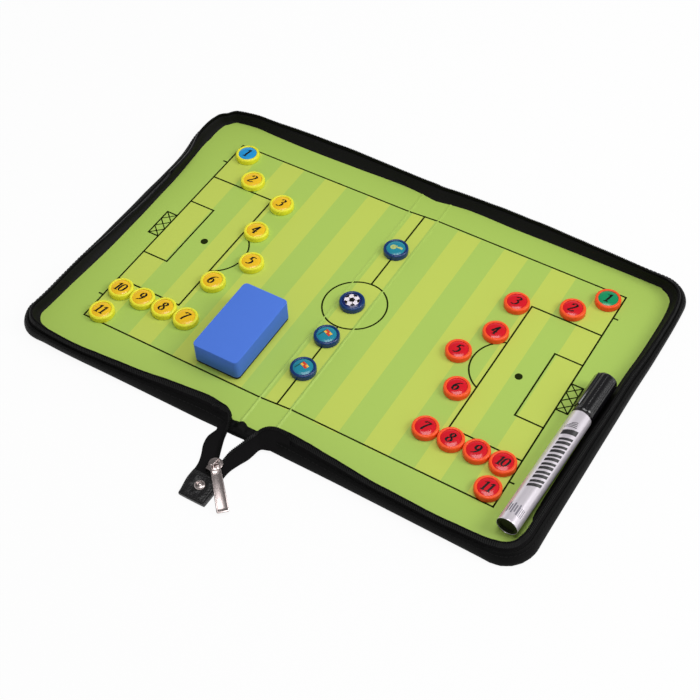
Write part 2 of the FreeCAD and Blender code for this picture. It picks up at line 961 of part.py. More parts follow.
# Counters: one ring and its core, set out again for each place on the printed pitch
def counter_outline(radius):
    """A round outline with few sides, because its facets are repeated on every counter."""
    turns = [math.radians(360 * index / COUNTER_SIDES) for index in range(COUNTER_SIDES)]
    return [(radius * round(math.cos(turn), 6), radius * round(math.sin(turn), 6)) for turn in turns]


def counter_solids():
    """A moulded ring with a bevelled rim, and the magnet with its printed face that fills it."""
    core_radius = size("core_diameter") / 2
    bore = core_radius + size("counter_fit")
    ring = new_body("counter_ring")
    section = sketch_on(ring, "XY_Plane")
    draw(section, counter_outline(size("counter_diameter") / 2))
    draw(section, counter_outline(bore))
    bevel_top(ring, pad(ring, section, size("counter_height")), size("counter_bevel"), bore)
    core = new_body("counter_core")
    face = sketch_on(core, "XY_Plane")
    draw(face, counter_outline(core_radius))
    bevel_top(core, pad(core, face, size("core_height")), size("core_bevel"))
    return [ring, core]


def counter(label, solids, across, along):
    group = doc.addObject("Part::Compound", label)
    group.Label = label
    group.Links = solids
    place(group, across + size("print_shift"), along, pitch_level)
    nodes.append(group)


def team(label, solids, shares, row_share, last_share, outward):
    """Six counters set out by hand, a touching row of four towards the goal, and one beyond it."""
    step = (size("counter_diameter") + size("counter_row_gap")) * outward
    places = [(half_pitch * across, half_wide * along) for across, along in shares]
    for index in range(ROW_COUNT):
        places.append((half_pitch * row_share[0] + step * index, half_wide * row_share[1]))
    places.append((half_pitch * last_share[0], half_wide * last_share[1]))
    for number, (across, along) in enumerate(places, start=1):
        counter(f"{label}_counter_{number:02d}", solids, across, along)


def counters():
    solids = counter_solids()
    team("yellow", solids, YELLOW_SHARES, YELLOW_ROW_SHARE, YELLOW_LAST_SHARE, -1)
    team("red", solids, RED_SHARES, RED_ROW_SHARE, RED_LAST_SHARE, 1)
    counter("ball_counter", solids, half_pitch * BALL_SHARE[0], half_wide * BALL_SHARE[1])
    for number, (across, along) in enumerate(OFFICIAL_SHARES, start=1):
        counter(f"official_counter_{number}", solids, half_pitch * across, half_wide * along)


def check_and_write():
    """Stop if anything failed to build, then write one file for each piece."""
    doc.recompute()
    for thing in doc.Objects:
        if "Invalid" in thing.State or "Error" in thing.State:
            raise RuntimeError(f"{thing.Label} did not build: {thing.State}")
    os.makedirs("parts", exist_ok=True)
    for node in nodes:
        if node.Shape.isNull() or not node.Shape.isValid():
            raise RuntimeError(f"{node.Label} has no valid shape")
    for node in nodes:
        node.Shape.exportStep(f"parts/{node.Label}.step")
    print(len(nodes), "pieces written")


flat_layers()
walls()
zip_tail()
eraser()
pen()
counters()
check_and_write()
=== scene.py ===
"""Looks of the zip-round tactics board: soft folder, zip, printed pitch, counters, eraser and pen."""

import bisect
import json
import math

import bmesh
import bpy
from mathutils import Matrix, Quaternion, Vector, noise

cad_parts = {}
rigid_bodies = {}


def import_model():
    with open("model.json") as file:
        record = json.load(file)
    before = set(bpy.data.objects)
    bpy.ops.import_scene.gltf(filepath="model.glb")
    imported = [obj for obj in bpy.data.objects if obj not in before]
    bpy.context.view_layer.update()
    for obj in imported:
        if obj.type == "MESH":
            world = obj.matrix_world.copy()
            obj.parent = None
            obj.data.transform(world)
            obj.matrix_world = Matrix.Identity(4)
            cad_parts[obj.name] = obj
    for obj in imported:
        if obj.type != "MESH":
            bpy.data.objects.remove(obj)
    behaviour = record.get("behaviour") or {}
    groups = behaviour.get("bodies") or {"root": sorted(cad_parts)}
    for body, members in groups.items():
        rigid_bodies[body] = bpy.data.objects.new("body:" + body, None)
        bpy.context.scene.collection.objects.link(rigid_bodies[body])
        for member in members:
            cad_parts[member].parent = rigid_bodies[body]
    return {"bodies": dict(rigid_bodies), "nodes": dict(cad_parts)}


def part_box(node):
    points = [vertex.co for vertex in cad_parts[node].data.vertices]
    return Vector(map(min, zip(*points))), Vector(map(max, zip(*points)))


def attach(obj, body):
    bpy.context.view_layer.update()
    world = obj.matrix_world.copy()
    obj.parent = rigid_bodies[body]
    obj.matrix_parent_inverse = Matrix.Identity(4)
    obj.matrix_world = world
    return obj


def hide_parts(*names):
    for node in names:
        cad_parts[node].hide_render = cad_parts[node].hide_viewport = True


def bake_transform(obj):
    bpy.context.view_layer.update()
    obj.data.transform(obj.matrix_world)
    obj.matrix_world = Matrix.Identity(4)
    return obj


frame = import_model()
kept = set(frame["nodes"].values()) | set(frame["bodies"].values())
for stray in [thing for thing in bpy.data.objects if thing not in kept]:
    bpy.data.objects.remove(stray)
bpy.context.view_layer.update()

MM = 0.001
UP = Vector((0, 0, 1))

# Folder, in millimetres from the middle of the spine
HALF_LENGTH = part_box("right_cover")[1].x / MM
HALF_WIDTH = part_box("right_cover")[1].y / MM
CORNER = 24.0
TURN_X = HALF_LENGTH - CORNER
TURN_Y = HALF_WIDTH - CORNER
CREASE = 12.9
SPINE_END = -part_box("left_pitch_sheet")[1].x / MM
PRINT_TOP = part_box("left_pitch_sheet")[1].z / MM
WALL_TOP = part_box("left_zip_tape")[1].z / MM
# The wall's top falls by END_DROP over the last END_FALL of its length
END_FALL = 12.0
END_DROP = 8.0

# Printed pitch; the areas are depths from the goal line and half widths
PRINT_SHIFT = 1.0
HALF_PITCH = 178.0
HALF_WIDE = 110.5
CIRCLE = 25.0
STRIPES = 17
PENALTY_AREA = (58.7, 66.3)
GOAL_AREA = (22.9, 32.9)
SPOT_DEPTH, SPOT_RADIUS = 36.5, 3.0
ARC_DEPTH, ARC_RADIUS, ARC_SWEEP = 47.9, 26.8, 134
NET_DEPTH, NET_HALF = 9.7, 13.35
TICK_PLACE, TICK_LENGTH = 86.5, 3.5
LINE = 1.35
NET_LINE = 0.95
INK_LIFT, INK_THICKNESS = 0.06, 0.08
# How far the spine's print is out of step with the halves', and the lines' gap at a crease
PRINT_SLIP = 1.7
LINE_GAP = 0.52


def srgb(red, green, blue):
    """A colour as seen on screen, 0 to 255, as the shader's linear colour."""
    def linear(level):
        share = level / 255
        return share / 12.92 if share <= 0.04045 else ((share + 0.055) / 1.055) ** 2.4
    return (linear(red), linear(green), linear(blue), 1.0)


# Finishes
GRASS = srgb(172, 202, 93)
PALE_GRASS = srgb(193, 209, 91)


def finish(name, colour, roughness, metallic=0.0, coat=0.0, specular=0.5):
    """A plain surface, with its own shader ready for a grain or a print."""
    material = bpy.data.materials.new(name)
    material.use_nodes = True
    shader = material.node_tree.nodes["Principled BSDF"]
    shader.inputs["Base Color"].default_value = colour
    shader.inputs["Roughness"].default_value = roughness
    shader.inputs["Metallic"].default_value = metallic
    shader.inputs["Coat Weight"].default_value = coat
    shader.inputs["Coat Roughness"].default_value = 0.08
    shader.inputs["Specular IOR Level"].default_value = specular
    return material


def grain(material, cells, depth, stretch=(1, 1, 1), texture="ShaderNodeTexNoise"):
    """Gives a finish a fine relief: its cells to the metre and its depth in millimetres."""
    tree = material.node_tree
    place = tree.nodes.new("ShaderNodeTexCoord")
    scale = tree.nodes.new("ShaderNodeMapping")
    scale.inputs["Scale"].default_value = stretch
    relief = tree.nodes.new(texture)
    relief.inputs["Scale"].default_value = cells
    bump = tree.nodes.new("ShaderNodeBump")
    bump.inputs["Distance"].default_value = depth * MM
    tree.links.new(place.outputs["Object"], scale.inputs["Vector"])
    tree.links.new(scale.outputs["Vector"], relief.inputs["Vector"])
    height = relief.outputs["Distance" if "Distance" in relief.outputs else 0]
    tree.links.new(height, bump.inputs["Height"])
    tree.links.new(bump.outputs["Normal"], tree.nodes["Principled BSDF"].inputs["Normal"])
    return material


def math_node(tree, operation, first, second=None, third=None):
    """A sum in a shader, on sockets or plain numbers."""
    node = tree.nodes.new("ShaderNodeMath")
    node.operation = operation
    for socket, value in zip(node.inputs, (first, second, third)):
        if value is None:
            continue
        if isinstance(value, (int, float)):
            socket.default_value = value
        else:
            tree.links.new(value, socket)
    return node.outputs[0]


def pitch_print(name):
    """Mown stripes across the field, plain green outside the lines."""
    material = finish(name, GRASS, 0.5, specular=0.25)
    tree = material.node_tree
    place = tree.nodes.new("ShaderNodeTexCoord")
    axes = tree.nodes.new("ShaderNodeSeparateXYZ")
    tree.links.new(place.outputs["Object"], axes.inputs[0])
    stripe = 2 * HALF_PITCH / STRIPES * MM
    middle = STRIPES / 2 - PRINT_SHIFT * MM / stripe
    along = math_node(tree, "MULTIPLY_ADD", axes.outputs["X"], 1 / stripe, middle)
    phase = math_node(tree, "FLOORED_MODULO", along, 2)
    pale = math_node(tree, "LESS_THAN", phase, 1)
    offset = math_node(tree, "SUBTRACT", axes.outputs["X"], PRINT_SHIFT * MM)
    past_middle = math_node(tree, "ABSOLUTE", offset)
    in_length = math_node(tree, "LESS_THAN", past_middle, HALF_PITCH * MM)
    across = math_node(tree, "ABSOLUTE", axes.outputs["Y"])
    in_width = math_node(tree, "LESS_THAN", across, HALF_WIDE * MM)
    field = math_node(tree, "MULTIPLY", in_length, in_width)
    mown = tree.nodes.new("ShaderNodeMix")
    mown.data_type = "RGBA"
    mown.inputs["A"].default_value = GRASS
    mown.inputs["B"].default_value = PALE_GRASS
    tree.links.new(math_node(tree, "MULTIPLY", pale, field), mown.inputs["Factor"])
    tree.links.new(mown.outputs["Result"], tree.nodes["Principled BSDF"].inputs["Base Color"])
    return material


def printed_disc(name, red, green, blue):
    """The glossy face of a counter."""
    return finish(name, srgb(red, green, blue), 0.16, specular=0.45)


leathercloth = finish("black_leathercloth", srgb(7, 7, 7), 0.55, specular=0.08)
grain(leathercloth, 1500, 0.12, texture="ShaderNodeTexVoronoi")
lining = grain(finish("wall_lining", srgb(14, 13, 14), 0.65, specular=0.15), 1100, 0.15)
tape_weave = finish("zip_tape_weave", srgb(13, 12, 13), 0.85, specular=0.12)
grain(tape_weave, 1300, 0.2, (1, 1, 0.25))
coil_plastic = finish("zip_coil_plastic", srgb(12, 12, 12), 0.42, specular=0.2)
thread = finish("seam_thread", srgb(18, 17, 18), 0.7, specular=0.15)
tab_leather = grain(finish("tab_leather", srgb(13, 12, 14), 0.34, specular=0.34), 700, 0.3)
bright_metal = grain(finish("zip_nickel", srgb(190, 178, 176), 0.24, metallic=1.0), 900, 0.02)
greyboard = grain(finish("greyboard", srgb(150, 138, 120), 0.9), 700, 0.1)
steel = finish("steel_sheet", srgb(150, 152, 154), 0.4, metallic=1.0)
pitch_film = pitch_print("pitch_film")
crease_film = finish("crease_film", GRASS, 0.34, specular=0.4)
line_ink = finish("line_ink", srgb(30, 40, 4), 0.6, specular=0.05)
foam_blue = grain(finish("eraser_foam_blue", srgb(76, 120, 218), 0.8, specular=0.25), 2200, 0.12)
felt_black = grain(finish("eraser_felt_black", srgb(34, 33, 38), 0.95), 1600, 0.4)
pen_silver = finish("pen_silver", srgb(226, 219, 227), 0.28, metallic=0.45)
grain(pen_silver, 500, 0.01, (1, 0.02, 1))
pen_black = finish("pen_black_plastic", srgb(14, 13, 16), 0.2, coat=0.3)
plug_black = finish("pen_plug_plastic", srgb(12, 12, 12), 0.5, specular=0.3)
pen_print = finish("pen_black_print", srgb(24, 22, 26), 0.4)
pen_grey_print = finish("pen_grey_print", srgb(120, 116, 128), 0.4)
pen_fibre = grain(finish("pen_fibre", srgb(40, 40, 44), 0.9), 1500, 0.1)
yellow_rim = finish("yellow_rim", srgb(234, 230, 48), 0.35, specular=0.4)
yellow_disc = printed_disc("yellow_disc", 242, 194, 36)
keeper_blue = printed_disc("yellow_keeper_disc", 36, 150, 214)
red_rim = finish("red_rim", srgb(250, 84, 28), 0.35, specular=0.35)
red_disc = printed_disc("red_disc", 214, 22, 38)
keeper_green = printed_disc("red_keeper_disc", 20, 146, 96)
blue_rim = finish("blue_rim", srgb(10, 52, 108), 0.2, specular=0.45)
teal_disc = printed_disc("teal_disc", 34, 136, 158)
navy_disc = printed_disc("navy_disc", 20, 34, 96)
counter_ink = finish("counter_ink", srgb(14, 9, 9), 0.35, specular=0.3)
white_print = finish("white_print", srgb(240, 232, 240), 0.35)
red_print = finish("red_print", srgb(206, 62, 38), 0.35)
yellow_print = finish("yellow_print", srgb(240, 190, 72), 0.35)
whistle_print = finish("whistle_print", srgb(182, 196, 118), 0.35)
stick_print = finish("stick_print", srgb(14, 66, 48), 0.35)


# Making pieces
def stand(name, data):
    """Sets a mesh, lamp or camera in the scene."""
    made = bpy.data.objects.new(name, data)
    bpy.context.scene.collection.objects.link(made)
    return made


def piece(name, bm, finishes, body=None, stands_for=(), slot=None, sharp=38, faced=False):
    """Turns a finished bmesh into a named piece that moves with its body.

    Edges turned by more than the sharp angle stay crisp. A faced one already looks outward.
    """
    if not faced:
        bmesh.ops.recalc_face_normals(bm, faces=bm.faces)
    for face in bm.faces:
        face.smooth = True
    for edge in bm.edges:
        edge.smooth = len(edge.link_faces) != 2 or edge.calc_face_angle() < math.radians(sharp)
    mesh = bpy.data.meshes.new(name)
    bm.to_mesh(mesh)
    bm.free()
    for material in finishes:
        mesh.materials.append(material)
    made = stand(name, mesh)
    if body:
        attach(made, body)
    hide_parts(*stands_for)
    return made


def chain(bm, points, closed=False):
    """Vertices in a row, joined by edges."""
    verts = [bm.verts.new(point) for point in points]
    pairs = list(zip(verts, verts[1:]))
    if closed:
        pairs.append((verts[-1], verts[0]))
    return [bm.edges.new(pair) for pair in pairs]


def edges_of(geometry):
    """The edges among what an operation returns."""
    return [item for item in geometry if isinstance(item, bmesh.types.BMEdge)]


def verts_of(geometry):
    """The vertices among what an operation returns."""
    return [item for item in geometry if isinstance(item, bmesh.types.BMVert)]


def drag(bm, edges, offset, steps=1):
    """Pulls a row of edges along a straight run and returns the edges at its end."""
    for _ in range(steps):
        grown = bmesh.ops.extrude_edge_only(bm, edges=edges)["geom"]
        fresh = verts_of(grown)
        edges = [edge for edge in edges_of(grown) if set(edge.verts) <= set(fresh)]
        bmesh.ops.translate(bm, verts=fresh, vec=Vector(offset) / steps)
    return edges


def swing(bm, edges, centre, angle, steps):
    """Turns a row of edges about an upright axis and returns the edges at the end."""
    verts = list({vert for edge in edges for vert in edge.verts})
    spun = bmesh.ops.spin(bm, geom=verts + edges, cent=centre, axis=UP, angle=angle, steps=steps)
    return edges_of(spun["geom_last"])


def turned(bm, profile, segments, material=0):
    """A round piece from (radius, height) points, turned about the Z axis."""
    before = set(bm.faces)
    edges = chain(bm, [(radius, 0, height) for radius, height in profile])
    verts = list({vert for edge in edges for vert in edge.verts})
    bmesh.ops.spin(
        bm, geom=verts + edges, cent=(0, 0, 0), axis=UP, angle=math.tau, steps=segments, use_merge=True
    )
    bmesh.ops.remove_doubles(bm, verts=bm.verts, dist=1e-5)
    for face in set(bm.faces) - before:
        face.material_index = material


def rounded(start, end, centre, steps=5):
    """Points on a quarter of an ellipse from start to end, in a profile."""
    points = []
    for step in range(steps + 1):
        turn = math.pi / 2 * step / steps
        share_a, share_b = math.cos(turn), math.sin(turn)
        points.append(tuple(
            middle + (a - middle) * share_a + (b - middle) * share_b
            for middle, a, b in zip(centre, start, end)
        ))
    return points


def through(points, steps, closed=False):
    """A smooth curve through a few points."""
    points = [Vector(point) for point in points]
    count = len(points)
    curve = []
    spans = count if closed else count - 1
    for span in range(spans):
        if closed:
            a, b, c, d = (points[(span + shift) % count] for shift in (-1, 0, 1, 2))
        else:
            a, b = points[max(span - 1, 0)], points[span]
            c, d = points[span + 1], points[min(span + 2, count - 1)]
        for step in range(steps):
            t = step / steps
            curve.append(0.5 * (
                2 * b + (c - a) * t + (2 * a - 5 * b + 4 * c - d) * t ** 2
                + (3 * b - a - 3 * c + d) * t ** 3
            ))
    curve.append(points[0] if closed else points[-1])
    return curve


def to_metres(bm, matrix=Matrix.Identity(4)):
    """Sets a bmesh drawn in millimetres at its place in the frame."""
    bmesh.ops.transform(bm, matrix=Matrix.Scale(MM, 4) @ matrix, verts=bm.verts)
    return bm


def merge(bm, other):
    """Adds one bmesh to another and frees it."""
    mesh = bpy.data.meshes.new("merged")
    other.to_mesh(mesh)
    other.free()
    bm.from_mesh(mesh)
    bpy.data.meshes.remove(mesh)


def cut(bm, point, normal, drop=False):
    """Cuts a bmesh along a plane and, where asked, drops what lies on the normal's side."""
    everything = bm.verts[:] + bm.edges[:] + bm.faces[:]
    bmesh.ops.bisect_plane(bm, geom=everything, plane_co=point, plane_no=normal, clear_outer=drop)


def thicken(bm, thickness):
    """Gives an open sheet its thickness."""
    bmesh.ops.recalc_face_normals(bm, faces=bm.faces)
    bmesh.ops.solidify(bm, geom=bm.faces[:], thickness=thickness)


def bevel(bm, edges, offset, segments, clamp=False):
    """Rounds the edges given."""
    bmesh.ops.bevel(
        bm, geom=edges, offset=offset, offset_type="OFFSET", segments=segments, profile=0.5,
        affect="EDGES", material=-1, clamp_overlap=clamp,
    )


def sharp_edges(bm, angle):
    """The edges between two faces that turn by more than an angle in degrees."""
    pairs = [edge for edge in bm.edges if len(edge.link_faces) == 2]
    return [edge for edge in pairs if edge.calc_face_angle() > math.radians(angle)]


def seat(point, onward, inward, up=UP):
    """A place whose X, Y and Z axes are the three ways given."""
    place = Matrix((onward, inward, up)).transposed().to_4x4()
    place.translation = point
    return place


def rod(bm, place, length, foot, tip):
    """A short six-sided rod along a place's Z axis, with the radii of its two ends."""
    bmesh.ops.create_cone(
        bm, cap_ends=True, segments=6, radius1=foot, radius2=tip, depth=length, matrix=place
    )


def mirrored(bm, side):
    """What is drawn for the left half, turned over for the right one."""
    if side == "right":
        bmesh.ops.scale(bm, vec=(-1, 1, 1), verts=bm.verts)


def smoothstep(share):
    """An even rise from 0 to 1 with soft ends."""
    share = min(max(share, 0.0), 1.0)
    return share * share * (3 - 2 * share)


# Soft wall and its zip, measured round each half from the middle of the far side
SIDE_START = TURN_X + CORNER * math.pi / 2
SIDE_END = SIDE_START + 2 * TURN_Y
NEAR_START = SIDE_END + CORNER * math.pi / 2
WALL_END = NEAR_START + TURN_X - SPINE_END
# Sections as depths inside the outline and heights
LEATHER = [
    (1.4, 0.12), (0.5, 0.5), (0.05, 1.6), (0.0, 3.0), (0.25, 5.0), (0.95, 7.2), (1.9, 9.0), (2.7, 9.8),
    (3.3, 10.0), (3.9, 9.7),
]
LINING = [
    (5.2, 10.2), (6.0, 11.9), (6.7, 12.3), (7.3, 11.8), (8.1, 9.6), (9.2, 6.8), (10.3, 4.9), (11.2, 4.1),
    (11.45, 3.9), (10.9, 3.4), (10.4, 1.2), (8.0, 0.3),
]
LINING_START = 4.6
TAPE = [(3.9, 8.4), (5.0, 11.4), (6.7, 15.8), (7.1, 15.9), (7.5, 15.75), (5.9, 11.4), (4.7, 8.4)]


def round_each(far, side, turn, near):
    """A table by the distance round a half, from rows that count from the start of each stretch."""
    stretches = ((0, far), (SIDE_START, side), (SIDE_END, turn), (NEAR_START, near))
    return [(start + row[0], *row[1:]) for start, rows in stretches for row in rows]


NEAR_LENGTH = WALL_END - NEAR_START
# How far the soft wall's foot and top lie inward
SWAY = {
    "left": round_each(
        far=[
            (0, 5.0, 1.4), (30, 0.9, 1.0), (75, 2.4, -0.4), (125, 3.0, 0.0), (160, 1.2, 1.2),
            (178, -0.2, 2.0), (192, 1.0, 4.6),
        ],
        side=[
            (-18, 4.9, 9.6), (8, 3.0, 3.8), (26, 1.8, 3.8), (44, 3.0, 9.6), (56, 3.7, 11.4),
            (72, 3.9, 11.4), (96, 3.0, 11.0), (118, 3.1, 10.5), (170, 3.5, 7.6), (210, 3.6, 6.6),
        ],
        turn=[(-8, 2.8, 6.4), (18, 1.0, 3.2)],
        near=[
            (0, -0.2, -0.8), (10, 0.0, -2.8), (34, -0.6, -4.1), (85, -0.6, -1.6), (130, -0.8, 3.2),
            (155, -0.9, 5.4), (170, -0.6, 4.0), (NEAR_LENGTH, -0.6, 2.4),
        ],
    ),
    "right": round_each(
        far=[
            (0, 4.9, 1.7), (30, 0.3, 0.2), (70, 1.8, -0.2), (115, 1.5, 0.9), (150, 1.3, 3.1),
            (180, 1.0, 4.8),
        ],
        side=[
            (-28, 0.6, 6.4), (-12, 0.5, 3.6), (14, -0.2, -2.8), (60, -0.4, -2.7), (90, 0.3, 0.1),
            (130, 0.6, 0.6),
        ],
        turn=[(-20, 1.2, 4.1), (8, 0.8, 4.8), (20, -0.4, 3.0)],
        near=[
            (0, -2.4, 0.5), (12, -2.0, -1.6), (45, -1.2, -2.2), (90, -0.2, -1.1), (130, 0.6, 2.9),
            (170, 0.9, 6.0), (NEAR_LENGTH, 1.2, 6.2),
        ],
    ),
}
# How much farther in the lining's foot lies than the wall's own thickness puts it
SPREAD = {
    "left": round_each(
        far=[(0, 0)],
        side=[
            (-10, 0.6), (14, 3.0), (44, 0.3), (60, 0.3), (90, 3.6), (125, 4.9), (170, 5.0), (215, 1.3),
        ],
        turn=[(0, 1.0), (20, 2.6)],
        near=[(0, 2.2), (20, 0), (NEAR_LENGTH, 0)],
    ),
    "right": round_each(
        far=[(0, 0)],
        side=[
            (-60, 0), (-30, 3.0), (-8, 3.0), (12, 0), (50, 0.6), (74, 1.9), (96, 2.2), (116, 3.8),
            (134, 4.8), (216, 5.0), (234, 2.0),
        ],
        turn=[(6, 0)],
        near=[(NEAR_LENGTH, 0)],
    ),
}
# How far the wall's top sags below its full height
SAG = {
    "left": round_each(
        far=[(0, 0)],
        side=[(60, 0), (76, 1.4), (92, 4.0), (152, 4.0), (186, 1.4), (215, 0)],
        turn=[],
        near=[(NEAR_LENGTH, 0)],
    ),
    "right": [(0, 0), (WALL_END, 0)],
}
# How far the wall's slanted end reaches past the film's edge
END_CUT = {"left": 6.5, "right": 1.0}


def round_the_half(point):
    """A point's distance round its half, how deep it lies inside the outline, and the way in."""
    across = max(abs(point.x) - TURN_X, 0.0)
    along = max(abs(point.y) - TURN_Y, 0.0)
    reach = math.hypot(across, along)
    turn = CORNER * math.atan2(across, along)
    if along == 0:
        distance = SIDE_START + TURN_Y - point.y
    elif point.y > 0:
        distance = min(abs(point.x), TURN_X) + turn
    else:
        distance = NEAR_START + TURN_X - min(abs(point.x), TURN_X) - turn
    outward = Vector((math.copysign(across, point.x), math.copysign(along, point.y), 0))
    return distance, CORNER - reach, -outward / max(reach, MM)


def between(places):
    """The values at any distance, smooth between the places given."""
    course = through(places, 12)

    def values(distance):
        here = bisect.bisect_left(course, distance, key=lambda spot: spot[0])
        here = min(max(here, 1), len(course) - 1)
        before, after = course[here - 1], course[here]
        share = (distance - before[0]) / (after[0] - before[0])
        return before.lerp(after, min(max(share, 0.0), 1.0))[1:]

    return values


def waves(point, length, seed):
    """Uneven waves of about a length over the plan, from -1 to 1."""
    return noise.noise(Vector((point.x / length, point.y / length, seed)))


def wall_shape(side):
    """How the soft wall leans, dips and waves, as a move for each of its points in millimetres."""
    sway, spread, sag = (between(table[side]) for table in (SWAY, SPREAD, SAG))
    lining_foot = max(depth for depth, _ in LINING)

    def move(point):
        distance, depth, inward = round_the_half(point)
        foot, top = sway(distance)
        inside = max(depth - LINING_START, 0.0) / (lining_foot - LINING_START)
        height = max(point.z, 0.0) / WALL_TOP
        foot += spread(distance)[0] * inside * (1 - height)
        ripple = 0.6 * waves(point, 34, 3.0) + 0.25 * waves(point, 11, 9.0)
        moved = point + inward * (foot + (top - foot) * height + ripple * height)
        moved.z -= height * 0.5 * (0.5 + waves(point, 27, 17.0))
        moved.z -= sag(distance)[0] * max(point.z - PRINT_TOP, 0.0) / (WALL_TOP - PRINT_TOP)
        past = distance - (WALL_END - END_FALL)
        if past > 0:
            moved.x += math.copysign(END_CUT[side] * past / END_FALL, point.x)
            crown = WALL_TOP - END_DROP * (1 - math.sqrt(max(1 - (past / END_FALL) ** 2, 0.0)))
            moved.z *= crown / WALL_TOP
        return moved

    return move


def shaped(bm, side):
    """Drawn for the left half, then mirrored for the right one and given its lean and waves."""
    mirrored(bm, side)
    move = wall_shape(side)
    for vert in bm.verts:
        vert.co = move(vert.co)
    return to_metres(bm)


# Up to this distance from the middle, across the crease, the far wall has finer steps
FINE_START = 20


def far_run(bm, section):
    """The section pulled from the middle of the spine round the far corner to the near one."""
    edges = chain(bm, [(0, HALF_WIDTH - depth, height) for depth, height in section], closed=True)
    edges = drag(bm, edges, (-FINE_START, 0, 0), 10)
    edges = drag(bm, edges, (FINE_START - TURN_X, 0, 0), 28)
    edges = swing(bm, edges, (-TURN_X, TURN_Y, 0), math.pi / 2, 12)
    return drag(bm, edges, (0, -2 * TURN_Y, 0), 40)


def near_run(bm, section):
    """The section pulled round the near corner to the wall's rounded end beside the spine."""
    outline = [(depth - HALF_LENGTH, -TURN_Y, height) for depth, height in section]
    edges = chain(bm, outline, closed=True)
    edges = swing(bm, edges, (-TURN_X, -TURN_Y, 0), math.pi / 2, 12)
    edges = drag(bm, edges, (TURN_X - SPINE_END - END_FALL, 0, 0), 32)
    edges = drag(bm, edges, (END_FALL, 0, 0), 12)
    bmesh.ops.contextual_create(bm, geom=edges)


def along_wall(distance):
    """The outer edge at a distance round the left half: its place, the way on and the way in."""
    place, onward, inward = Vector((0, HALF_WIDTH, 0)), Vector((-1, 0, 0)), Vector((0, -1, 0))
    corner = CORNER * math.pi / 2
    for straight in (TURN_X, 2 * TURN_Y, TURN_X):
        place += onward * min(distance, straight)
        distance -= straight
        if distance < 0:
            break
        turn = Matrix.Rotation(min(distance, corner) / CORNER, 3, "Z")
        place += (inward - turn @ inward) * CORNER
        onward, inward = turn @ onward, turn @ inward
        distance -= corner
        if distance < 0:
            break
    return place, onward, inward


# Places of the coil and of the stitches are depths inside the outline and heights
COIL_PITCH = 1.5
COIL_PLACE = (5.65, 13.9)
COIL_SLOPE = math.atan2(1.7, 4.4)
COIL_FOOT, COIL_TIP, COIL_LENGTH = 0.62, 0.5, 3.5
STITCH_PITCH = 3.4
STITCH_PLACE = (1.35, 8.25)
STITCH_RADIUS, STITCH_LENGTH = 0.24, 2.2
# The near coil stops so far before the wall's end
COIL_SHORT = 3
COVER_INSET = 0.7
COVER_THICKNESS = 0.9


def seats(start, end, pitch, depth, height):
    """Evenly spaced places along the wall."""
    for order in range(int((end - start) / pitch)):
        edge, onward, inward = along_wall(start + (order + 0.5) * pitch)
        yield seat(edge + inward * depth + UP * height, onward, inward)


def coil_turns(bm, start, end):
    """The coil's turns on the tape's outer face, each a short slanted rod."""
    for place in seats(start, end, COIL_PITCH, *COIL_PLACE):
        rod(bm, place @ Matrix.Rotation(-COIL_SLOPE, 4, "X"), COIL_LENGTH, COIL_FOOT, COIL_TIP)


def hem_stitches(bm, start, end):
    """The row of stitches under the leather's turned edge."""
    for place in seats(start, end, STITCH_PITCH, *STITCH_PLACE):
        rod(bm, place @ Matrix.Rotation(math.pi / 2, 4, "Y"), STITCH_LENGTH, STITCH_RADIUS, STITCH_RADIUS)


def fold_with(obj, side):
    """Sets a piece's place into its mesh and bends nothing; the half it is given is not used."""
    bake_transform(obj)


def soft_walls(side):
    """The wall, tape, coil and stitches of one half, each in a far and a near piece."""
    half = f"{side}_half"
    gusset, tape, coil = f"{side}_gusset", f"{side}_zip_tape", f"{side}_zip_coil"
    for run, far in ((far_run, True), (near_run, False)):
        part = f"{side}_far" if far else f"{side}_near"
        start, end = (0, SIDE_END) if far else (SIDE_END, WALL_END)
        wall, ribbon, turns, stitches = (bmesh.new() for _ in range(4))
        run(wall, LEATHER + LINING)
        for face in wall.faces:
            depth = round_the_half(face.calc_center_median())[1]
            face.material_index = int(depth > LINING_START)
        run(ribbon, TAPE)
        coil_turns(turns, start, end if far else end - COIL_SHORT)
        hem_stitches(stitches, start, end)
        body = None if far else half
        made = []
        for name, bm, finishes, nodes, slot in (
            ("wall", wall, [leathercloth, lining], [gusset], "black_leathercloth"),
            ("tape", ribbon, [tape_weave], [tape], "zip_tape"),
            ("coil", turns, [coil_plastic], [coil], "zip_coil"),
            ("stitches", stitches, [thread], [], "black_leathercloth"),
        ):
            made.append(piece(f"{part}_{name}", shaped(bm, side), finishes, body, nodes, slot))
        if far:
            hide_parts("spine_end_gusset")
            for obj in made:
                fold_with(obj, side)


# Outer cover
def outer_cover(side):
    """Half of the cover sheet from the middle of the spine, whose edge follows the wall's foot."""
    sway = between(SWAY[side])
    outline = []
    steps = 96
    for step in range(steps + 1):
        distance = WALL_END * step / steps
        edge, _, inward = along_wall(distance)
        outline.append(edge + inward * (COVER_INSET + sway(distance)[0]))
    outline.append(Vector((0, COVER_INSET - HALF_WIDTH, 0)))
    bm = bmesh.new()
    bmesh.ops.contextual_create(bm, geom=chain(bm, outline, closed=True))
    for place in range(8, 19):
        cut(bm, (-place, 0, 0), (1, 0, 0))
    mirrored(bm, side)
    bmesh.ops.triangulate(bm, faces=bm.faces[:])
    bmesh.ops.recalc_face_normals(bm, faces=bm.faces)
    lifted = bmesh.ops.extrude_face_region(bm, geom=bm.faces[:], use_keep_orig=True)["geom"]
    bmesh.ops.translate(bm, verts=verts_of(lifted), vec=(0, 0, COVER_THICKNESS))
    nodes = [f"{side}_cover", "spine_cover"]
    to_metres(bm)
    cover = piece(f"{side}_outer_cover", bm, [leathercloth], None, nodes, "black_leathercloth")
    fold_with(cover, side)


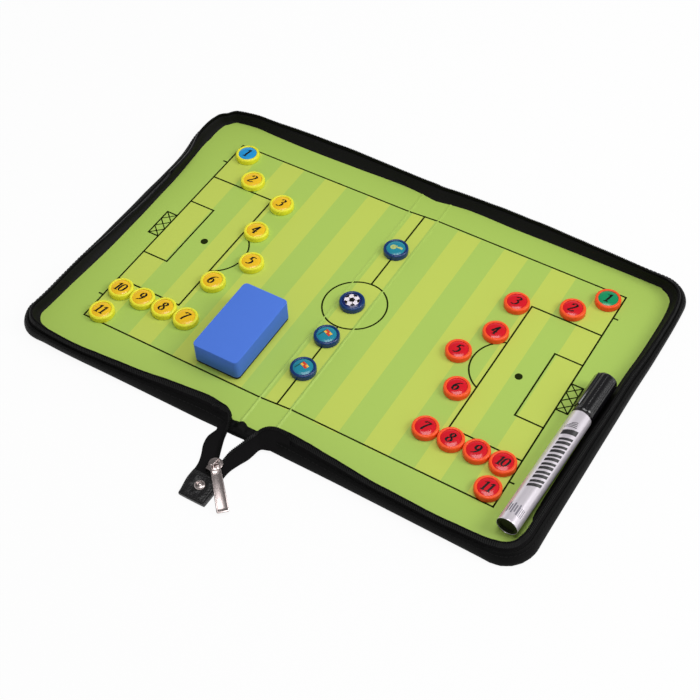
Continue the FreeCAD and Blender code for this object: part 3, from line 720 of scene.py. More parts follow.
HEM_START, HEM_END = -23.0, CREASE + 0.4
HEM_NEAR, HEM_WIDTH, HEM_THICKNESS = -HALF_WIDTH + 0.8, 9.0, 0.5
BUNCH_PLACE, BUNCH_REACH = -10.6, 2.6


def spine_hem():
    """The cover's turned-over edge at the near end of the spine, with its bunched corner."""
    bm = bmesh.new()
    bmesh.ops.create_grid(bm, x_segments=72, y_segments=16, size=0.5)
    for vert in bm.verts:
        x = HEM_START + (vert.co.x + 0.5) * (HEM_END - HEM_START)
        share = vert.co.y + 0.5
        ragged = noise.noise(Vector((x / 5, 2.0, 0.5))) * 1.1
        ragged += noise.noise(Vector((x / 1.7, 4.0, 0.5))) * 0.5
        bunch = math.exp(-((x - BUNCH_PLACE) / BUNCH_REACH) ** 2)
        y = HEM_NEAR + share * (HEM_WIDTH + ragged + 2.8 * bunch)
        lump = noise.noise(Vector((x / 3.4, y / 3.4, 5.0))) * 0.35
        edge = smoothstep(share / 0.3) * smoothstep((1 - share) / 0.25)
        plump = smoothstep((1 - x) / 5)
        z = 0.4 + (PRINT_TOP + 0.3) * smoothstep(share / 0.28)
        z += edge * (0.2 + plump * (0.8 + lump + 1.6 * bunch))
        vert.co = Vector((x, y, z if share < 0.99 else PRINT_TOP - 0.2))
    thicken(bm, HEM_THICKNESS)
    to_metres(bm)
    hem = piece("spine_hem", bm, [leathercloth], None, ["spine_cover"], "black_leathercloth")
    fold_with(hem, "left")


# Printed lines
def bar(bm, start, end, width=LINE):
    """A straight printed line between two points on the pitch."""
    start, end = Vector(start), Vector(end)
    along = end - start
    place = (
        Matrix.Translation(((start + end) / 2).to_3d())
        @ Matrix.Rotation(math.atan2(along.y, along.x), 4, "Z")
        @ Matrix.Diagonal((along.length + width, width, 1, 1))
    )
    bmesh.ops.create_grid(bm, x_segments=1, y_segments=1, size=0.5, matrix=place)


def patch(bm, radius, segments, x=0.0, y=0.0, turn=0.0, fan=False):
    """A filled printed spot of so many sides."""
    place = Matrix.Translation((x, y, 0)) @ Matrix.Rotation(turn, 4, "Z")
    bmesh.ops.create_circle(
        bm, cap_ends=True, cap_tris=fan, segments=segments, radius=radius, matrix=place
    )


def arc(bm, centre, radius, start, sweep, steps):
    """A round printed line about a centre, in degrees."""
    first = math.radians(start)
    way = Vector((math.cos(first), math.sin(first), 0))
    middle = Vector((*centre, 0))
    edges = chain(bm, [middle + way * (radius - LINE / 2), middle + way * (radius + LINE / 2)])
    swing(bm, edges, middle, math.radians(sweep), steps)


def goal_box(bm, goal, front, half):
    """The three lines of a box that stands on the goal line."""
    bar(bm, (goal, half), (front, half))
    bar(bm, (front, half), (front, -half))
    bar(bm, (front, -half), (goal, -half))


def goal_end(bm, sign):
    """The lines at one goal: both areas, spot, arc, net and corner ticks."""
    goal = sign * HALF_PITCH
    for depth, half in (PENALTY_AREA, GOAL_AREA):
        goal_box(bm, goal, goal - sign * depth, half)
    patch(bm, SPOT_RADIUS, 24, goal - sign * SPOT_DEPTH)
    start = (180 if sign > 0 else 0) - ARC_SWEEP / 2
    arc(bm, (goal - sign * ARC_DEPTH, 0), ARC_RADIUS, start, ARC_SWEEP, 28)
    back = goal + sign * NET_DEPTH
    goal_box(bm, goal, back, NET_HALF)
    for cross in range(3):
        low = -NET_HALF + cross * NET_HALF * 2 / 3
        high = low + NET_HALF * 2 / 3
        bar(bm, (goal, low), (back, high), NET_LINE)
        bar(bm, (goal, high), (back, low), NET_LINE)
    for side in (-1, 1):
        bar(bm, (goal, side * TICK_PLACE), (goal + sign * TICK_LENGTH, side * TICK_PLACE))


def pitch_lines():
    """All lines of the pitch as one flat drawing on the film, in millimetres."""
    bm = bmesh.new()
    for side in (-1, 1):
        bar(bm, (-HALF_PITCH, side * HALF_WIDE), (HALF_PITCH, side * HALF_WIDE))
        bar(bm, (side * HALF_PITCH, -HALF_WIDE), (side * HALF_PITCH, HALF_WIDE))
        goal_end(bm, side)
        bar(bm, (0, side * CIRCLE), (0, side * HALF_WIDE))
    arc(bm, (0, 0), CIRCLE, 0, 360, 72)
    bmesh.ops.translate(bm, verts=bm.verts, vec=(PRINT_SHIFT, 0, PRINT_TOP + INK_LIFT))
    return bm


WELT_HALF, WELT_RISE = 1.6, 0.55
WELT_FOOT = 0.1


def welt(place):
    """How far the folded film stands up beside a crease, most at the near end."""
    share = min(abs(abs(place.x) - CREASE) / WELT_HALF, 1.0)
    near = 0.45 + 0.55 * smoothstep((30 - place.y) / 150)
    return WELT_RISE * near * (0.5 + 0.5 * math.cos(math.pi * share))


def print_lines():
    """The lines cut at the creases, so that each part folds with its own sheet."""
    drawing = pitch_lines()
    for step in range(-3, 4):
        for sign in (-1, 1):
            cut(drawing, (sign * CREASE + WELT_HALF * step / 3, 0, 0), (1, 0, 0))
    for vert in drawing.verts:
        vert.co.z += welt(vert.co)
        over_spine = (vert.co.x + CREASE) / (2 * CREASE)
        past_crease = (HALF_PITCH - vert.co.x) / (HALF_PITCH - CREASE)
        vert.co.y += PRINT_SLIP * max(min(over_spine, past_crease), 0.0)
    short, past = CREASE - LINE_GAP, CREASE + LINE_GAP
    cuts = {
        "left": [((-past, 0, 0), (1, 0, 0))],
        "spine": [((-short, 0, 0), (-1, 0, 0)), ((short, 0, 0), (1, 0, 0))],
        "right": [((past, 0, 0), (-1, 0, 0))],
    }
    for part, planes in cuts.items():
        bm = drawing.copy()
        for point, normal in planes:
            cut(bm, point, normal, drop=True)
        thicken(bm, INK_THICKNESS)
        body = "spine" if part == "spine" else f"{part}_half"
        piece(f"{part}_pitch_lines", to_metres(bm), [line_ink], body, [], "pitch_print")
    drawing.free()


def crease_band(side):
    """The low pale fold of the printed film along one crease."""
    sign = -1 if side == "left" else 1
    bm = bmesh.new()
    near, far = -HALF_WIDTH + 9.5, HALF_WIDTH - 11
    across = [sign * CREASE + WELT_HALF * step / 6 for step in range(-6, 7)]
    section = [(x, near, PRINT_TOP) for x in across]
    section += [(x, near, PRINT_TOP - WELT_FOOT) for x in (across[-1], across[0])]
    edges = chain(bm, section, closed=True)
    bmesh.ops.contextual_create(bm, geom=edges)
    edges = drag(bm, edges, (0, far - near, 0), 24)
    bmesh.ops.contextual_create(bm, geom=edges)
    for vert in bm.verts:
        if vert.co.z > PRINT_TOP - WELT_FOOT / 2:
            vert.co.z += welt(vert.co)
    band = piece(f"{side}_crease_band", to_metres(bm), [crease_film], None, [], "pitch_print")
    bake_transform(band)


# Tail of the zip: the outer and inner edge of each tape, from the wall's end to the tab
LEFT_TAIL = [
    ((-38, -142, 6), (-33, -138.2, 15.2)),
    ((-30, -144.5, 3.5), (-25.8, -137, 15.3)),
    ((-27, -147, 2.0), (-20.2, -137.8, 13.8)),
    ((-25.6, -149.2, 1.6), (-17.9, -140.8, 10.5)),
    ((-26.6, -153, 1.5), (-16.6, -146, 5.5)),
    ((-27.7, -158, 1.4), (-15.1, -154.5, 2.6)),
    ((-26.2, -165.5, 1.4), (-11.8, -163.5, 1.7)),
    ((-22.4, -173.5, 1.4), (-8.7, -171.5, 1.6)),
    ((-20, -181, 1.4), (-7.45, -179.5, 1.6)),
    ((-19.6, -190, 1.4), (-7.45, -190, 1.6)),
]
RIGHT_TAIL = [
    ((34, -142.5, 5), (30, -135.2, 15.0)),
    ((24, -145, 3), (21, -133.8, 15.4)),
    ((18, -146.6, 2), (14.3, -134.8, 14.6)),
    ((13.5, -148, 1.6), (8.4, -137, 11.6)),
    ((11.6, -150.5, 1.5), (4.2, -140.6, 7.6)),
    ((10.6, -156, 1.4), (0.6, -146, 4.6)),
    ((9.4, -161, 1.4), (-2.6, -153, 2.4)),
    ((6.2, -168.5, 1.4), (-5.4, -161.5, 1.7)),
    ((3.9, -175.5, 1.4), (-5.9, -170.5, 1.6)),
    ((3.4, -183, 1.4), (-7.1, -180, 1.6)),
    ((5.0, -190, 1.4), (-7.1, -190, 1.6)),
]
TAIL_THICKNESS, TAIL_CUP = 0.7, 0.35
TAIL_COIL_INSET, TAIL_COIL_LIFT = 1.0, 0.75
TAIL_COIL_LENGTH, TAIL_COIL_FOOT = 2.6, 0.6


def tail_tape(side, stations):
    """One tape from the wall's end down to the tab, with the coil along its inner edge."""
    outer = through([station[0] for station in stations], 8)
    inner = through([station[1] for station in stations], 8)
    bm = bmesh.new()
    bmesh.ops.create_grid(bm, x_segments=len(outer) - 1, y_segments=6, size=0.5)
    for vert in bm.verts:
        along = round((vert.co.x + 0.5) * (len(outer) - 1))
        across = vert.co.y + 0.5
        cup = TAIL_CUP * math.sin(math.pi * across)
        vert.co = outer[along].lerp(inner[along], across) + UP * cup
    thicken(bm, TAIL_THICKNESS)
    to_metres(bm)
    node = f"zip_tail_{side}_tape"
    tape = piece(f"zip_tail_{side}_ribbon", bm, [tape_weave], None, [node], "zip_tape")
    turns = bmesh.new()
    carried = 0.0
    for here, onward, edge in zip(inner, inner[1:], outer):
        step = onward - here
        way_on = step.normalized()
        way_in = (edge - here).normalized()
        lift = way_on.cross(way_in)
        lift = lift if lift.z > 0 else -lift
        while carried < step.length:
            point = here + way_on * carried + way_in * TAIL_COIL_INSET + lift * TAIL_COIL_LIFT
            place = seat(point, way_on, way_in, lift) @ Matrix.Rotation(math.pi / 2, 4, "X")
            rod(turns, place, TAIL_COIL_LENGTH, TAIL_COIL_FOOT, COIL_TIP)
            carried += COIL_PITCH
        carried -= step.length
    to_metres(turns)
    coil = piece(f"zip_tail_{side}_coil", turns, [coil_plastic], None, ["zip_tail_coils"], "zip_coil")
    for obj in (tape, coil):
        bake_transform(obj)


TAB_SEAM, TAB_STITCHES = 1.9, 8
TAB_STITCH_LENGTH, TAB_STITCH_RADIUS = 1.7, 0.22


def end_tab():
    """The folded leather tab: a sewn groove, plump inside it and drawn down by the rivet."""
    low, high = (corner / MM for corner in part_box("zip_end_tab"))
    rivet = sum(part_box("zip_end_rivet"), Vector()) / 2 / MM
    middle, half = (low + high) / 2, (high - low) / 2

    def surface(u, v, w):
        """The place of a point of a cube from -1 to 1, drawn into the tab's form."""
        x = middle.x + u * half.x * (1 - 0.02 * abs(v) ** 4)
        x += max(-u, 0) * smoothstep((0.4 - v) / 1.4) * 2.0
        y = middle.y + v * half.y * (1 - 0.02 * abs(u) ** 4)
        edge = min((1 - abs(u)) * half.x, (1 - abs(v)) * half.y)
        fall = 0.6 * math.exp(-(edge / 0.7) ** 2)
        fall += 0.45 * math.exp(-((edge - TAB_SEAM) / 0.55) ** 2)
        drawn = 0.3 * math.exp(-(math.hypot(x - rivet.x, y - rivet.y) / 4.6) ** 4)
        puff = waves(Vector((x, y, 0)), 4, 1.0) * 0.35 * smoothstep((edge - TAB_SEAM) / 2)
        top = high.z - fall - drawn + puff - 0.15
        return Vector((x, y, low.z + 0.05 + (top - low.z) * (w + 1) / 2))

    bm = bmesh.new()
    bmesh.ops.create_cube(bm, size=2)
    bmesh.ops.subdivide_edges(bm, edges=bm.edges[:], cuts=39, use_grid_fill=True)
    for vert in bm.verts:
        vert.co = surface(*vert.co)
    to_metres(bm)
    piece("zip_end_leather", bm, [tab_leather], "spine", ["zip_end_tab"], "black_leathercloth", sharp=60)
    stitches = bmesh.new()
    seam_u, seam_v = 1 - TAB_SEAM / half.x, 1 - TAB_SEAM / half.y
    for step in range(TAB_STITCHES):
        v = seam_v * (2 * (step + 0.5) / TAB_STITCHES - 1)
        for u in (-seam_u, seam_u):
            place = Matrix.Translation(surface(u, v, 1) + UP * 0.1)
            place @= Matrix.Rotation(math.pi / 2, 4, "X")
            rod(stitches, place, TAB_STITCH_LENGTH, TAB_STITCH_RADIUS, TAB_STITCH_RADIUS)
    piece("zip_end_stitches", to_metres(stitches), [thread], "spine", [], "black_leathercloth")


PULL_TURN = math.radians(47.5)
PULL_BOW = 0.8


def bow(bm):
    """Bows the pull's plate along its length, so that its tip turns down."""
    eye = sum(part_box("zip_slider"), Vector()) / 2
    eye.z = 0
    along = Vector((math.cos(PULL_TURN), -math.sin(PULL_TURN), 0))
    length = max((vert.co - eye).dot(along) for vert in bm.verts)
    for step in range(1, 12):
        cut(bm, eye + along * length * step / 12, along)
    for vert in bm.verts:
        share = min(max((vert.co - eye).dot(along) / length, 0.0), 1.0)
        vert.co.z += PULL_BOW * MM * math.sin(math.pi * share)


def refined(node, body, edge, shape=None):
    """A metal fitting on its CAD form, with its edges broken and, where given, a new shape."""
    bm = bmesh.new()
    bm.from_mesh(frame["nodes"][node].data)
    bmesh.ops.remove_doubles(bm, verts=bm.verts, dist=1e-6)
    bmesh.ops.dissolve_limit(bm, angle_limit=math.radians(2), verts=bm.verts, edges=bm.edges)
    bevel(bm, sharp_edges(bm, 35), edge * MM, 2, clamp=True)
    if shape:
        shape(bm)
    piece(f"{node}_metal", bm, [bright_metal], body, [node], "zip_metal")


def rivet_head():
    """The rivet: a flat rim, a shallow ring and a domed middle."""
    low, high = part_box("zip_end_rivet")
    middle = (low + high) / 2 / MM
    top, tab = high.z / MM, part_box("zip_end_tab")[1].z / MM
    profile = [
        (0, 0.3), (1.5, 0.3), (1.5, tab - 0.6), (4.0, tab - 0.5), (4.2, tab - 0.1), (4.1, tab + 0.25),
        (3.6, top - 0.5), (3.1, top - 0.25), (2.7, top - 0.3), (2.3, top - 0.9), (1.9, top - 0.85),
        (1.3, top - 0.25), (0, top),
    ]
    bm = bmesh.new()
    turned(bm, profile, 32)
    to_metres(bm, Matrix.Translation((middle.x, middle.y, 0)))
    piece("zip_end_rivet_metal", bm, [bright_metal], "spine", ["zip_end_rivet"], "zip_metal")


# Counters
COUNTER_SIDES = 48
RIM_RADIUS = 10.1
DISC_RADIUS = 7.7
DISC_EDGE = 4.35
DISC_CROWN = 0.85
# Strokes of the digits in a box of NUMERAL_WIDTH by NUMERAL_HEIGHT; a 9 is a 6 turned round
NUMERALS = {
    "0": [[
        (2.3, 7.9), (0.75, 6.6), (0.45, 4), (0.75, 1.4), (2.3, 0.1), (3.85, 1.4), (4.15, 4), (3.85, 6.6),
    ]],
    "1": [[(0.7, 6.5), (2.0, 7.1), (2.7, 7.9)], [(2.7, 7.8), (2.7, 0.3)], [(1.1, 0.15), (4.3, 0.15)]],
    "2": [
        [(0.6, 6.0), (0.9, 7.3), (2.3, 7.9), (3.8, 7.1), (3.7, 5.4), (2.4, 3.2), (0.5, 0.6)],
        [(0.4, 0.35), (4.1, 0.35)], [(4.1, 0.5), (4.3, 1.5)],
    ],
    "3": [
        [(0.7, 6.7), (1.3, 7.6), (2.5, 7.9), (3.7, 7.0), (3.4, 5.4), (1.9, 4.4)],
        [(1.9, 4.4), (3.6, 3.8), (3.9, 2.1), (2.9, 0.5), (1.5, 0.1), (0.4, 0.8)],
    ],
    "4": [
        [(3.1, 7.8), (0.4, 2.5)], [(0.3, 2.3), (4.5, 2.3)],
        [(3.1, 7.8), (3.1, 0.3)], [(2.0, 0.15), (4.3, 0.15)],
    ],
    "5": [
        [(1.3, 7.6), (4.1, 7.6)], [(1.3, 7.6), (1.0, 4.6)],
        [(0.9, 4.7), (2.4, 4.9), (3.7, 3.7), (3.6, 1.7), (2.3, 0.3), (0.5, 0.5)],
    ],
    "6": [[
        (4.0, 7.7), (2.2, 6.8), (0.9, 4.8), (0.6, 2.3), (1.3, 0.5), (2.4, 0.1), (3.6, 1.0), (3.8, 2.9),
        (2.8, 4.5), (1.6, 4.1), (0.9, 2.9),
    ]],
    "7": [
        [(0.5, 6.4), (0.7, 7.5)], [(0.6, 7.6), (4.3, 7.6)],
        [(4.3, 7.5), (3.0, 5.2), (2.0, 2.6), (1.7, 0.2)],
    ],
    "8": [
        [(2.3, 4.3), (1.0, 5.4), (1.1, 7.1), (2.4, 7.9), (3.6, 7.0), (3.5, 5.4), (2.3, 4.3)],
        [(2.3, 4.3), (0.8, 3.0), (0.7, 1.2), (2.2, 0.1), (3.8, 1.1), (3.7, 2.9), (2.3, 4.3)],
    ],
}
NUMERAL_WIDTH = 4.6
NUMERAL_HEIGHT = 8.0
NUMERAL_SLANT = 0.24
PAIR_PITCH = 4.3
SINGLE_SCALE = 1.08
NIB = ((1.65, 0.0, 0.0), (0.0, 0.75, 0.0))


def dome(x, y):
    """The height of a counter's disc above the counter's foot."""
    return DISC_EDGE + DISC_CROWN * (1 - min((x * x + y * y) / DISC_RADIUS ** 2, 1.0) ** 2)


def numeral(bm, digit):
    """One digit drawn with a broad nib, thick down its stems and thin across."""
    turned_six = digit == "9"
    for stroke in NUMERALS["6" if turned_six else digit]:
        route = through(stroke, 5, closed=digit == "0")
        if turned_six:
            route = [Vector((NUMERAL_WIDTH, NUMERAL_HEIGHT)) - point for point in route]
        for reach in NIB:
            start, half = route[0].to_3d(), Vector(reach) / 2
            edges = chain(bm, [start - half, start + half])
            for here, onward in zip(route, route[1:]):
                edges = drag(bm, edges, (onward - here).to_3d())


def numeral_print(label):
    """A number for the middle of a counter's disc, flat and slanted."""
    made = bmesh.new()
    single = len(label) == 1
    for place, digit in enumerate(label):
        one = bmesh.new()
        numeral(one, digit)
        shift = (place - (len(label) - 1) / 2) * PAIR_PITCH - NUMERAL_WIDTH / 2
        bmesh.ops.translate(one, verts=one.verts, vec=(shift, -NUMERAL_HEIGHT / 2, 0))
        merge(made, one)
    scale = SINGLE_SCALE if single else 1.0
    for vert in made.verts:
        x = vert.co.x + NUMERAL_SLANT * vert.co.y
        vert.co = Vector((x * scale, vert.co.y * scale, 0))
    return made


def lay_on_dome(bm, drawing, material, lift):
    """Adds a flat drawing to a counter, cut finely and draped over its disc."""
    bmesh.ops.triangulate(drawing, faces=drawing.faces[:])
    for _ in range(3):
        long = [edge for edge in drawing.edges if edge.calc_length() > 1.5]
        bmesh.ops.subdivide_edges(drawing, edges=long, cuts=1)
        bmesh.ops.triangulate(drawing, faces=drawing.faces[:])
    moulded, below = set(bm.faces), set(bm.verts)
    merge(bm, drawing)
    for vert in set(bm.verts) - below:
        vert.co.z = dome(vert.co.x, vert.co.y) + lift
    for face in set(bm.faces) - moulded:
        face.material_index = material
        face.normal_update()
        if face.normal.z < 0:
            face.normal_flip()


def counter_form(bm):
    """The moulded body with its rounded rim, and the domed disc set into it."""
    rim = [(0, 0.04), (9.8, 0.04), (RIM_RADIUS, 0.3)]
    rim += rounded((RIM_RADIUS, 3.6), (8.7, 5.0), (8.7, 3.6), 5)
    rim += [(8.15, 5.0), (7.85, 4.8), (DISC_RADIUS, DISC_EDGE - 0.1)]
    turned(bm, rim, COUNTER_SIDES, 0)
    radii = [DISC_RADIUS * (1 - step / 10) for step in range(11)]
    turned(bm, [(radius, dome(radius, 0)) for radius in radii], COUNTER_SIDES, 1)


def counter(node, finishes, drawings, slot):
    """One counter at its CAD place, with the drawings printed on its disc."""
    low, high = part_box(node)
    bm = bmesh.new()
    counter_form(bm)
    bmesh.ops.recalc_face_normals(bm, faces=bm.faces)
    for order, drawing in enumerate(drawings):
        lay_on_dome(bm, drawing, min(order + 2, len(finishes) - 1), 0.05 + 0.03 * order)
    middle = (low + high) / 2
    to_metres(bm, Matrix.Translation(Vector((middle.x, middle.y, low.z)) / MM))
    piece(f"{node}_moulded", bm, finishes, node, [node], slot, faced=True)


def football():
    """The classic ball: a dark pentagon in the middle, seams, and dark patches round the edge."""
    ball, pentagon, seam = 6.0, 2.5, 0.42
    white, dark = bmesh.new(), bmesh.new()
    patch(white, ball, 40, fan=True)
    patch(dark, pentagon, 5, turn=math.radians(18))
    outer = [
        (ball * 0.66, 0), (ball * 0.8, 1.9), (ball * 0.96, 1.6),
        (ball, 0), (ball * 0.96, -1.6), (ball * 0.8, -1.9),
    ]
    for corner in range(5):
        aim = Matrix.Rotation(math.radians(18 + 72 * corner), 4, "Z")
        way = (aim @ Vector((1, 0, 0))).xy
        bar(dark, way * pentagon * 0.9, way * ball * 0.7, seam)
        edges = chain(dark, [aim @ Vector((*point, 0)) for point in outer], closed=True)
        bmesh.ops.contextual_create(dark, geom=edges)
    return [white, dark]


def whistle():
    """A plain whistle: round chamber, mouthpiece and its air slot."""
    body, slot = bmesh.new(), bmesh.new()
    patch(body, 2.5, 28, -2.0, -0.5)
    bar(body, (-1.4, 1.0), (4.4, 1.0), 2.0)
    bar(slot, (0.8, 1.6), (1.8, 1.6), 0.7)
    patch(slot, 0.45, 12, -2.2, -0.7)
    return [body, slot]


def line_flag():
    """A plain quartered flag on its stick."""
    stick, red, yellow = bmesh.new(), bmesh.new(), bmesh.new()
    quarter = 1.9
    bar(stick, (-5.0, -3.2), (-1.9, 4.0), 0.9)
    bar(red, (-1.2, 3.1), (0.5, 2.4), quarter)
    bar(red, (0.5, 0.5), (2.2, -0.2), quarter)
    bar(yellow, (1.2, 2.1), (2.9, 1.4), quarter)
    bar(yellow, (-1.9, 1.5), (-0.2, 0.8), quarter)
    return [stick, yellow, red]


def counters():
    """Two teams of eleven, whose keepers have discs of their own, the ball and three officials."""
    for number in range(1, 12):
        keeper = number == 1
        for team, rim, disc in (
            ("yellow", yellow_rim, keeper_blue if keeper else yellow_disc),
            ("red", red_rim, keeper_green if keeper else red_disc),
        ):
            drawings = [numeral_print(str(number))]
            node = f"{team}_counter_{number:02d}"
            counter(node, [rim, disc, counter_ink], drawings, f"{team}_counter")
    ball_prints = [white_print, counter_ink]
    whistle_prints = [whistle_print, teal_disc]
    flag_prints = [stick_print, yellow_print, red_print]
    counter("ball_counter", [blue_rim, navy_disc] + ball_prints, football(), "blue_counter")
    counter("official_counter_1", [blue_rim, teal_disc] + whistle_prints, whistle(), "blue_counter")
    for number in (2, 3):
        node = f"official_counter_{number}"
        counter(node, [blue_rim, teal_disc] + flag_prints, line_flag(), "blue_counter")


# Eraser
def soft_block(node, corner, edge):
    """A block of a node's size with round upright corners and softened edges."""
    low, high = (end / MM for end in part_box(node))
    middle, reach = (low + high) / 2, high - low
    bm = bmesh.new()
    bmesh.ops.create_cube(bm, size=1, matrix=Matrix.Translation(middle) @ Matrix.Diagonal((*reach, 1)))
    upright = [
        side for side in bm.edges
        if abs((side.verts[0].co - side.verts[1].co).normalized().z) > 0.9
    ]
    bevel(bm, upright, corner, 8)
    bevel(bm, sharp_edges(bm, 60), edge, 4)
    return to_metres(bm)


def eraser():
    """The padded foam block on its felt."""
    foam = soft_block("eraser_foam", 3.7, 0.6)
    felt = soft_block("eraser_felt", 3.3, 0.3)
    block = piece("eraser_block", foam, [foam_blue], "eraser", ["eraser_foam"], "eraser_foam", sharp=70)
    piece("eraser_wiping_felt", felt, [felt_black], "eraser", ["eraser_felt"], "eraser_felt", sharp=70)


# Marker pen, drawn upright on its plug end and laid down along the right wall
PEN_END = Vector((196.5, -125.1, 12.55))
PEN_TURN = math.radians(-2.3)
PEN_ROLL = math.radians(28)
PEN_PLACE = (
    Matrix.Translation(PEN_END) @ Matrix.Rotation(PEN_TURN, 4, "Z")
    @ Matrix.Rotation(-math.pi / 2, 4, "X") @ Matrix.Rotation(PEN_ROLL, 4, "Z")
)
BARREL_RADIUS = 8.2
BARREL_LENGTH = 108.0
CAP_RADIUS = 8.5
CAP_START, CAP_END = BARREL_LENGTH + 0.3, 148.0
CAP_BORE = 6.55
CAP_FLUTES, FLUTE_DEPTH = 10, 0.5
PEN_PRINT_LIFT = 0.03


def pen_tube():
    """The drawn barrel, open at the plug end and crimped in at the front."""
    bm = bmesh.new()
    profile = [
        (6.3, BARREL_LENGTH - 0.1), (6.8, BARREL_LENGTH), (7.4, BARREL_LENGTH - 0.2),
        (7.9, BARREL_LENGTH - 0.8), (BARREL_RADIUS, BARREL_LENGTH - 1.8), (BARREL_RADIUS, 1.0),
        (8.25, 0.7), (8.2, 0.25), (8.1, 0.05), (8.0, 0.05), (7.9, 0.3), (7.88, 3.0),
    ]
    turned(bm, profile, 64)
    piece("pen_tube", to_metres(bm, PEN_PLACE), [pen_silver], "pen", ["pen_barrel"], "pen_aluminium")


def pen_plug():
    """The plug in the barrel's end, with its shallow dish."""
    bm = bmesh.new()
    profile = [
        (0, 1.6), (5.3, 1.6), (5.7, 1.4), (5.8, 0.8), (6.1, 0.55), (7.5, 0.4), (7.8, 0.7), (7.8, 2.9),
        (7.3, 7.2), (0, 7.2),
    ]
    turned(bm, profile, 56)
    piece("pen_plug", to_metres(bm, PEN_PLACE), [plug_black], "pen", ["pen_end_plug"], "pen_black")


def pen_cap():
    """The cap: plain skirt, long flutes and a flat raised strip down one side."""
    bm = bmesh.new()
    profile = [(CAP_BORE, CAP_END - 2.4), (CAP_BORE, CAP_START), (8.2, CAP_START)]
    profile += [(CAP_RADIUS, CAP_START + 0.3), (CAP_RADIUS, CAP_START + 2.6)]
    profile += [(CAP_RADIUS, CAP_START + 3.4 + step * 4) for step in range(9)]
    profile += rounded((CAP_RADIUS, CAP_END - 2.0), (6.5, CAP_END), (6.5, CAP_END - 2.0), 4)
    profile += [(0, CAP_END)]
    turned(bm, profile, 120)
    for vert in bm.verts:
        radius = math.hypot(vert.co.x, vert.co.y)
        if radius < 8.0:
            continue
        wave = math.cos(math.atan2(vert.co.y, vert.co.x) * CAP_FLUTES)
        depth = FLUTE_DEPTH * smoothstep((wave - 0.2) / 0.7)
        depth *= smoothstep((vert.co.z - CAP_START - 2.4) / 1.2)
        depth *= smoothstep((CAP_END - 0.4 - vert.co.z) / 2.0)
        vert.co.x *= 1 - depth / radius
        vert.co.y *= 1 - depth / radius
    place = Matrix.Translation((-8.2, 0, CAP_END - 18.5)) @ Matrix.Diagonal((2.0, 6.4, 33.0, 1))
    strip = bmesh.ops.create_cube(bm, size=1, matrix=place)["verts"]
    bevel(bm, list({edge for vert in strip for edge in vert.link_edges}), 0.4, 3)
    to_metres(bm, PEN_PLACE)
    piece("pen_cap_moulded", bm, [pen_black], "cap", ["pen_cap"], "pen_black", sharp=50)


def wrapped(bm, across, along, width, length, slant=0.0):
    """A bar of print on the barrel, at an angle round it and a distance from the plug end."""
    for vert in bmesh.ops.create_grid(bm, x_segments=8, y_segments=2, size=0.5)["verts"]:
        turn = math.radians(across) + vert.co.x * width / BARREL_RADIUS
        height = along + vert.co.y * length + vert.co.x * slant
        radius = BARREL_RADIUS + PEN_PRINT_LIFT
        vert.co = Vector((radius * math.cos(turn), radius * math.sin(turn), height))


def pen_markings():
    """Plain slanted bars and dashes in place of print."""
    bars = bmesh.new()
    for order in range(6):
        start = 34.5 + order * 8.3
        wrapped(bars, 254, start, 9.6, 2.7, 4.4)
        wrapped(bars, 254, start + 3.8, 9.6, 2.3, 4.4)
    wrapped(bars, 250, 86.5, 11.0, 4.6, 4.4)
    for order in range(4):
        wrapped(bars, 236 + order * 3, 91.0 + order * 1.5, 9.0 - order * 1.6, 0.6, 2.0)
    piece("pen_bars", to_metres(bars, PEN_PLACE), [pen_print], "pen", [], "pen_black")
    dashes = bmesh.new()
    for order in range(5):
        wrapped(dashes, 206 + order * 13, 11.0, 1.0, 9.0 - (order % 2) * 3)
    for order in range(4):
        wrapped(dashes, 262 + order * 9, 10.0, 0.5, 7.0)
    piece("pen_dashes", to_metres(dashes, PEN_PLACE), [pen_grey_print], "pen", [], "pen_aluminium")


# Finishes for the pieces that keep their CAD form
def dress(node, material):
    """Gives a CAD piece its finish."""
    mesh = frame["nodes"][node].data
    mesh.materials.clear()
    mesh.materials.append(material)


for side in ("left", "right"):
    soft_walls(side)
    outer_cover(side)
    crease_band(side)
    dress(f"{side}_board", greyboard)
    dress(f"{side}_steel_sheet", steel)
    dress(f"{side}_pitch_sheet", pitch_film)
dress("spine_board", greyboard)
dress("spine_steel_strip", steel)
dress("spine_pitch_strip", pitch_film)
spine_hem()
print_lines()
tail_tape("left", LEFT_TAIL)
tail_tape("right", RIGHT_TAIL)
end_tab()
rivet_head()
refined("zip_slider", "slider", 0.22)
refined("zip_pull", "pull", 0.16, bow)
counters()
eraser()
pen_tube()
pen_plug()
pen_cap()
pen_markings()
dress("pen_ink_reservoir", pen_fibre)
dress("pen_nib_holder", pen_black)
dress("pen_nib", pen_fibre)


# Floor, light and camera
FLOOR_HALF = 30
FLOOR_DROP = 0.0002
# The share of plain white in what the camera and the reflections see of the floor
FLOOR_WHITE = 0.92
CAMERA_PLACE, CAMERA_AIM = Vector((0.3958, -0.6045, 0.8203)), Vector((0.01927, -0.03666, 0))
CAMERA_ROLL = math.radians(-3.055)
FOCAL_LENGTH, SENSOR_WIDTH = 72.505, 36.0
# Brightness of the world by the height of the way looked, level at 0 and straight up at 1
SKY = ((0.3, 0.9), (0.55, 0.16), (0.9, 0.16), (0.97, 1.0))


def aimed(obj, place, aim, roll=0.0):
    """Puts a lamp or camera at its place and points it."""
    obj.location = place
    obj.rotation_mode = "QUATERNION"
    turn = (Vector(aim) - Vector(place)).to_track_quat("-Z", "Y")
    obj.rotation_quaternion = turn @ Quaternion((0, 0, 1), roll)


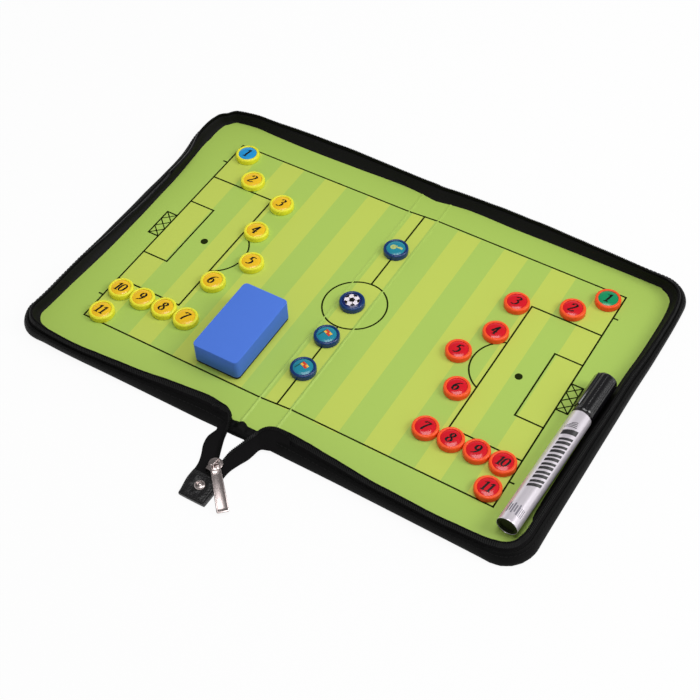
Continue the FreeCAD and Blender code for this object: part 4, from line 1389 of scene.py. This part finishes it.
def floor():
    """A wide pale floor that looks white to the camera and still takes soft shadows."""
    bm = bmesh.new()
    place = Matrix.Translation((0, 0, -FLOOR_DROP))
    bmesh.ops.create_grid(bm, x_segments=1, y_segments=1, size=FLOOR_HALF, matrix=place)
    mesh = bpy.data.meshes.new("floor")
    bm.to_mesh(mesh)
    bm.free()
    material = finish("pale_floor", srgb(242, 242, 242), 0.9, specular=0.1)
    tree = material.node_tree
    shader = tree.nodes["Principled BSDF"]
    glow = tree.nodes.new("ShaderNodeEmission")
    glow.inputs["Strength"].default_value = 1.0
    mix = tree.nodes.new("ShaderNodeMixShader")
    rays = tree.nodes.new("ShaderNodeLightPath")
    seen = math_node(tree, "MAXIMUM", rays.outputs["Is Camera Ray"], rays.outputs["Is Glossy Ray"])
    seen = math_node(tree, "MAXIMUM", seen, rays.outputs["Is Transmission Ray"])
    share = math_node(tree, "MULTIPLY", seen, FLOOR_WHITE)
    tree.links.new(share, mix.inputs[0])
    tree.links.new(shader.outputs[0], mix.inputs[1])
    tree.links.new(glow.outputs[0], mix.inputs[2])
    tree.links.new(mix.outputs[0], tree.nodes["Material Output"].inputs["Surface"])
    mesh.materials.append(material)
    stand("floor", mesh)


def softbox(name, place, across, power):
    """A square lamp that looks at the middle of the board."""
    lamp = bpy.data.lights.new(name, "AREA")
    lamp.shape = "SQUARE"
    lamp.size = across
    lamp.energy = power
    aimed(stand(name, lamp), place, (0, 0, 0))


def studio():
    """A grey room, bright below and straight above, with two lamps."""
    world = bpy.data.worlds.new("studio")
    bpy.context.scene.world = world
    world.use_nodes = True
    tree = world.node_tree
    way = tree.nodes.new("ShaderNodeTexCoord")
    height = tree.nodes.new("ShaderNodeSeparateXYZ")
    tree.links.new(way.outputs["Generated"], height.inputs[0])
    ramp = tree.nodes.new("ShaderNodeValToRGB")
    stops = ramp.color_ramp.elements
    for order, (position, level) in enumerate(SKY):
        stop = stops[order] if order < len(stops) else stops.new(position)
        stop.position = position
        stop.color = (level, level, level, 1)
    tree.links.new(height.outputs["Z"], ramp.inputs["Fac"])
    tree.links.new(ramp.outputs["Color"], tree.nodes["Background"].inputs["Color"])
    softbox("overhead_softbox", (0.1, 0.1, 1.35), across=0.7, power=7.0)
    softbox("side_softbox", (2.0, 0.8, 1.8), across=1.1, power=30.0)


def camera():
    """The photograph's camera, fitted to the printed lines."""
    lens = bpy.data.cameras.new("camera")
    lens.lens = FOCAL_LENGTH
    lens.sensor_width = SENSOR_WIDTH
    made = stand("camera", lens)
    aimed(made, CAMERA_PLACE, CAMERA_AIM, CAMERA_ROLL)
    bpy.context.scene.camera = made


floor()
studio()
camera()
bpy.context.scene.view_settings.view_transform = "Standard"
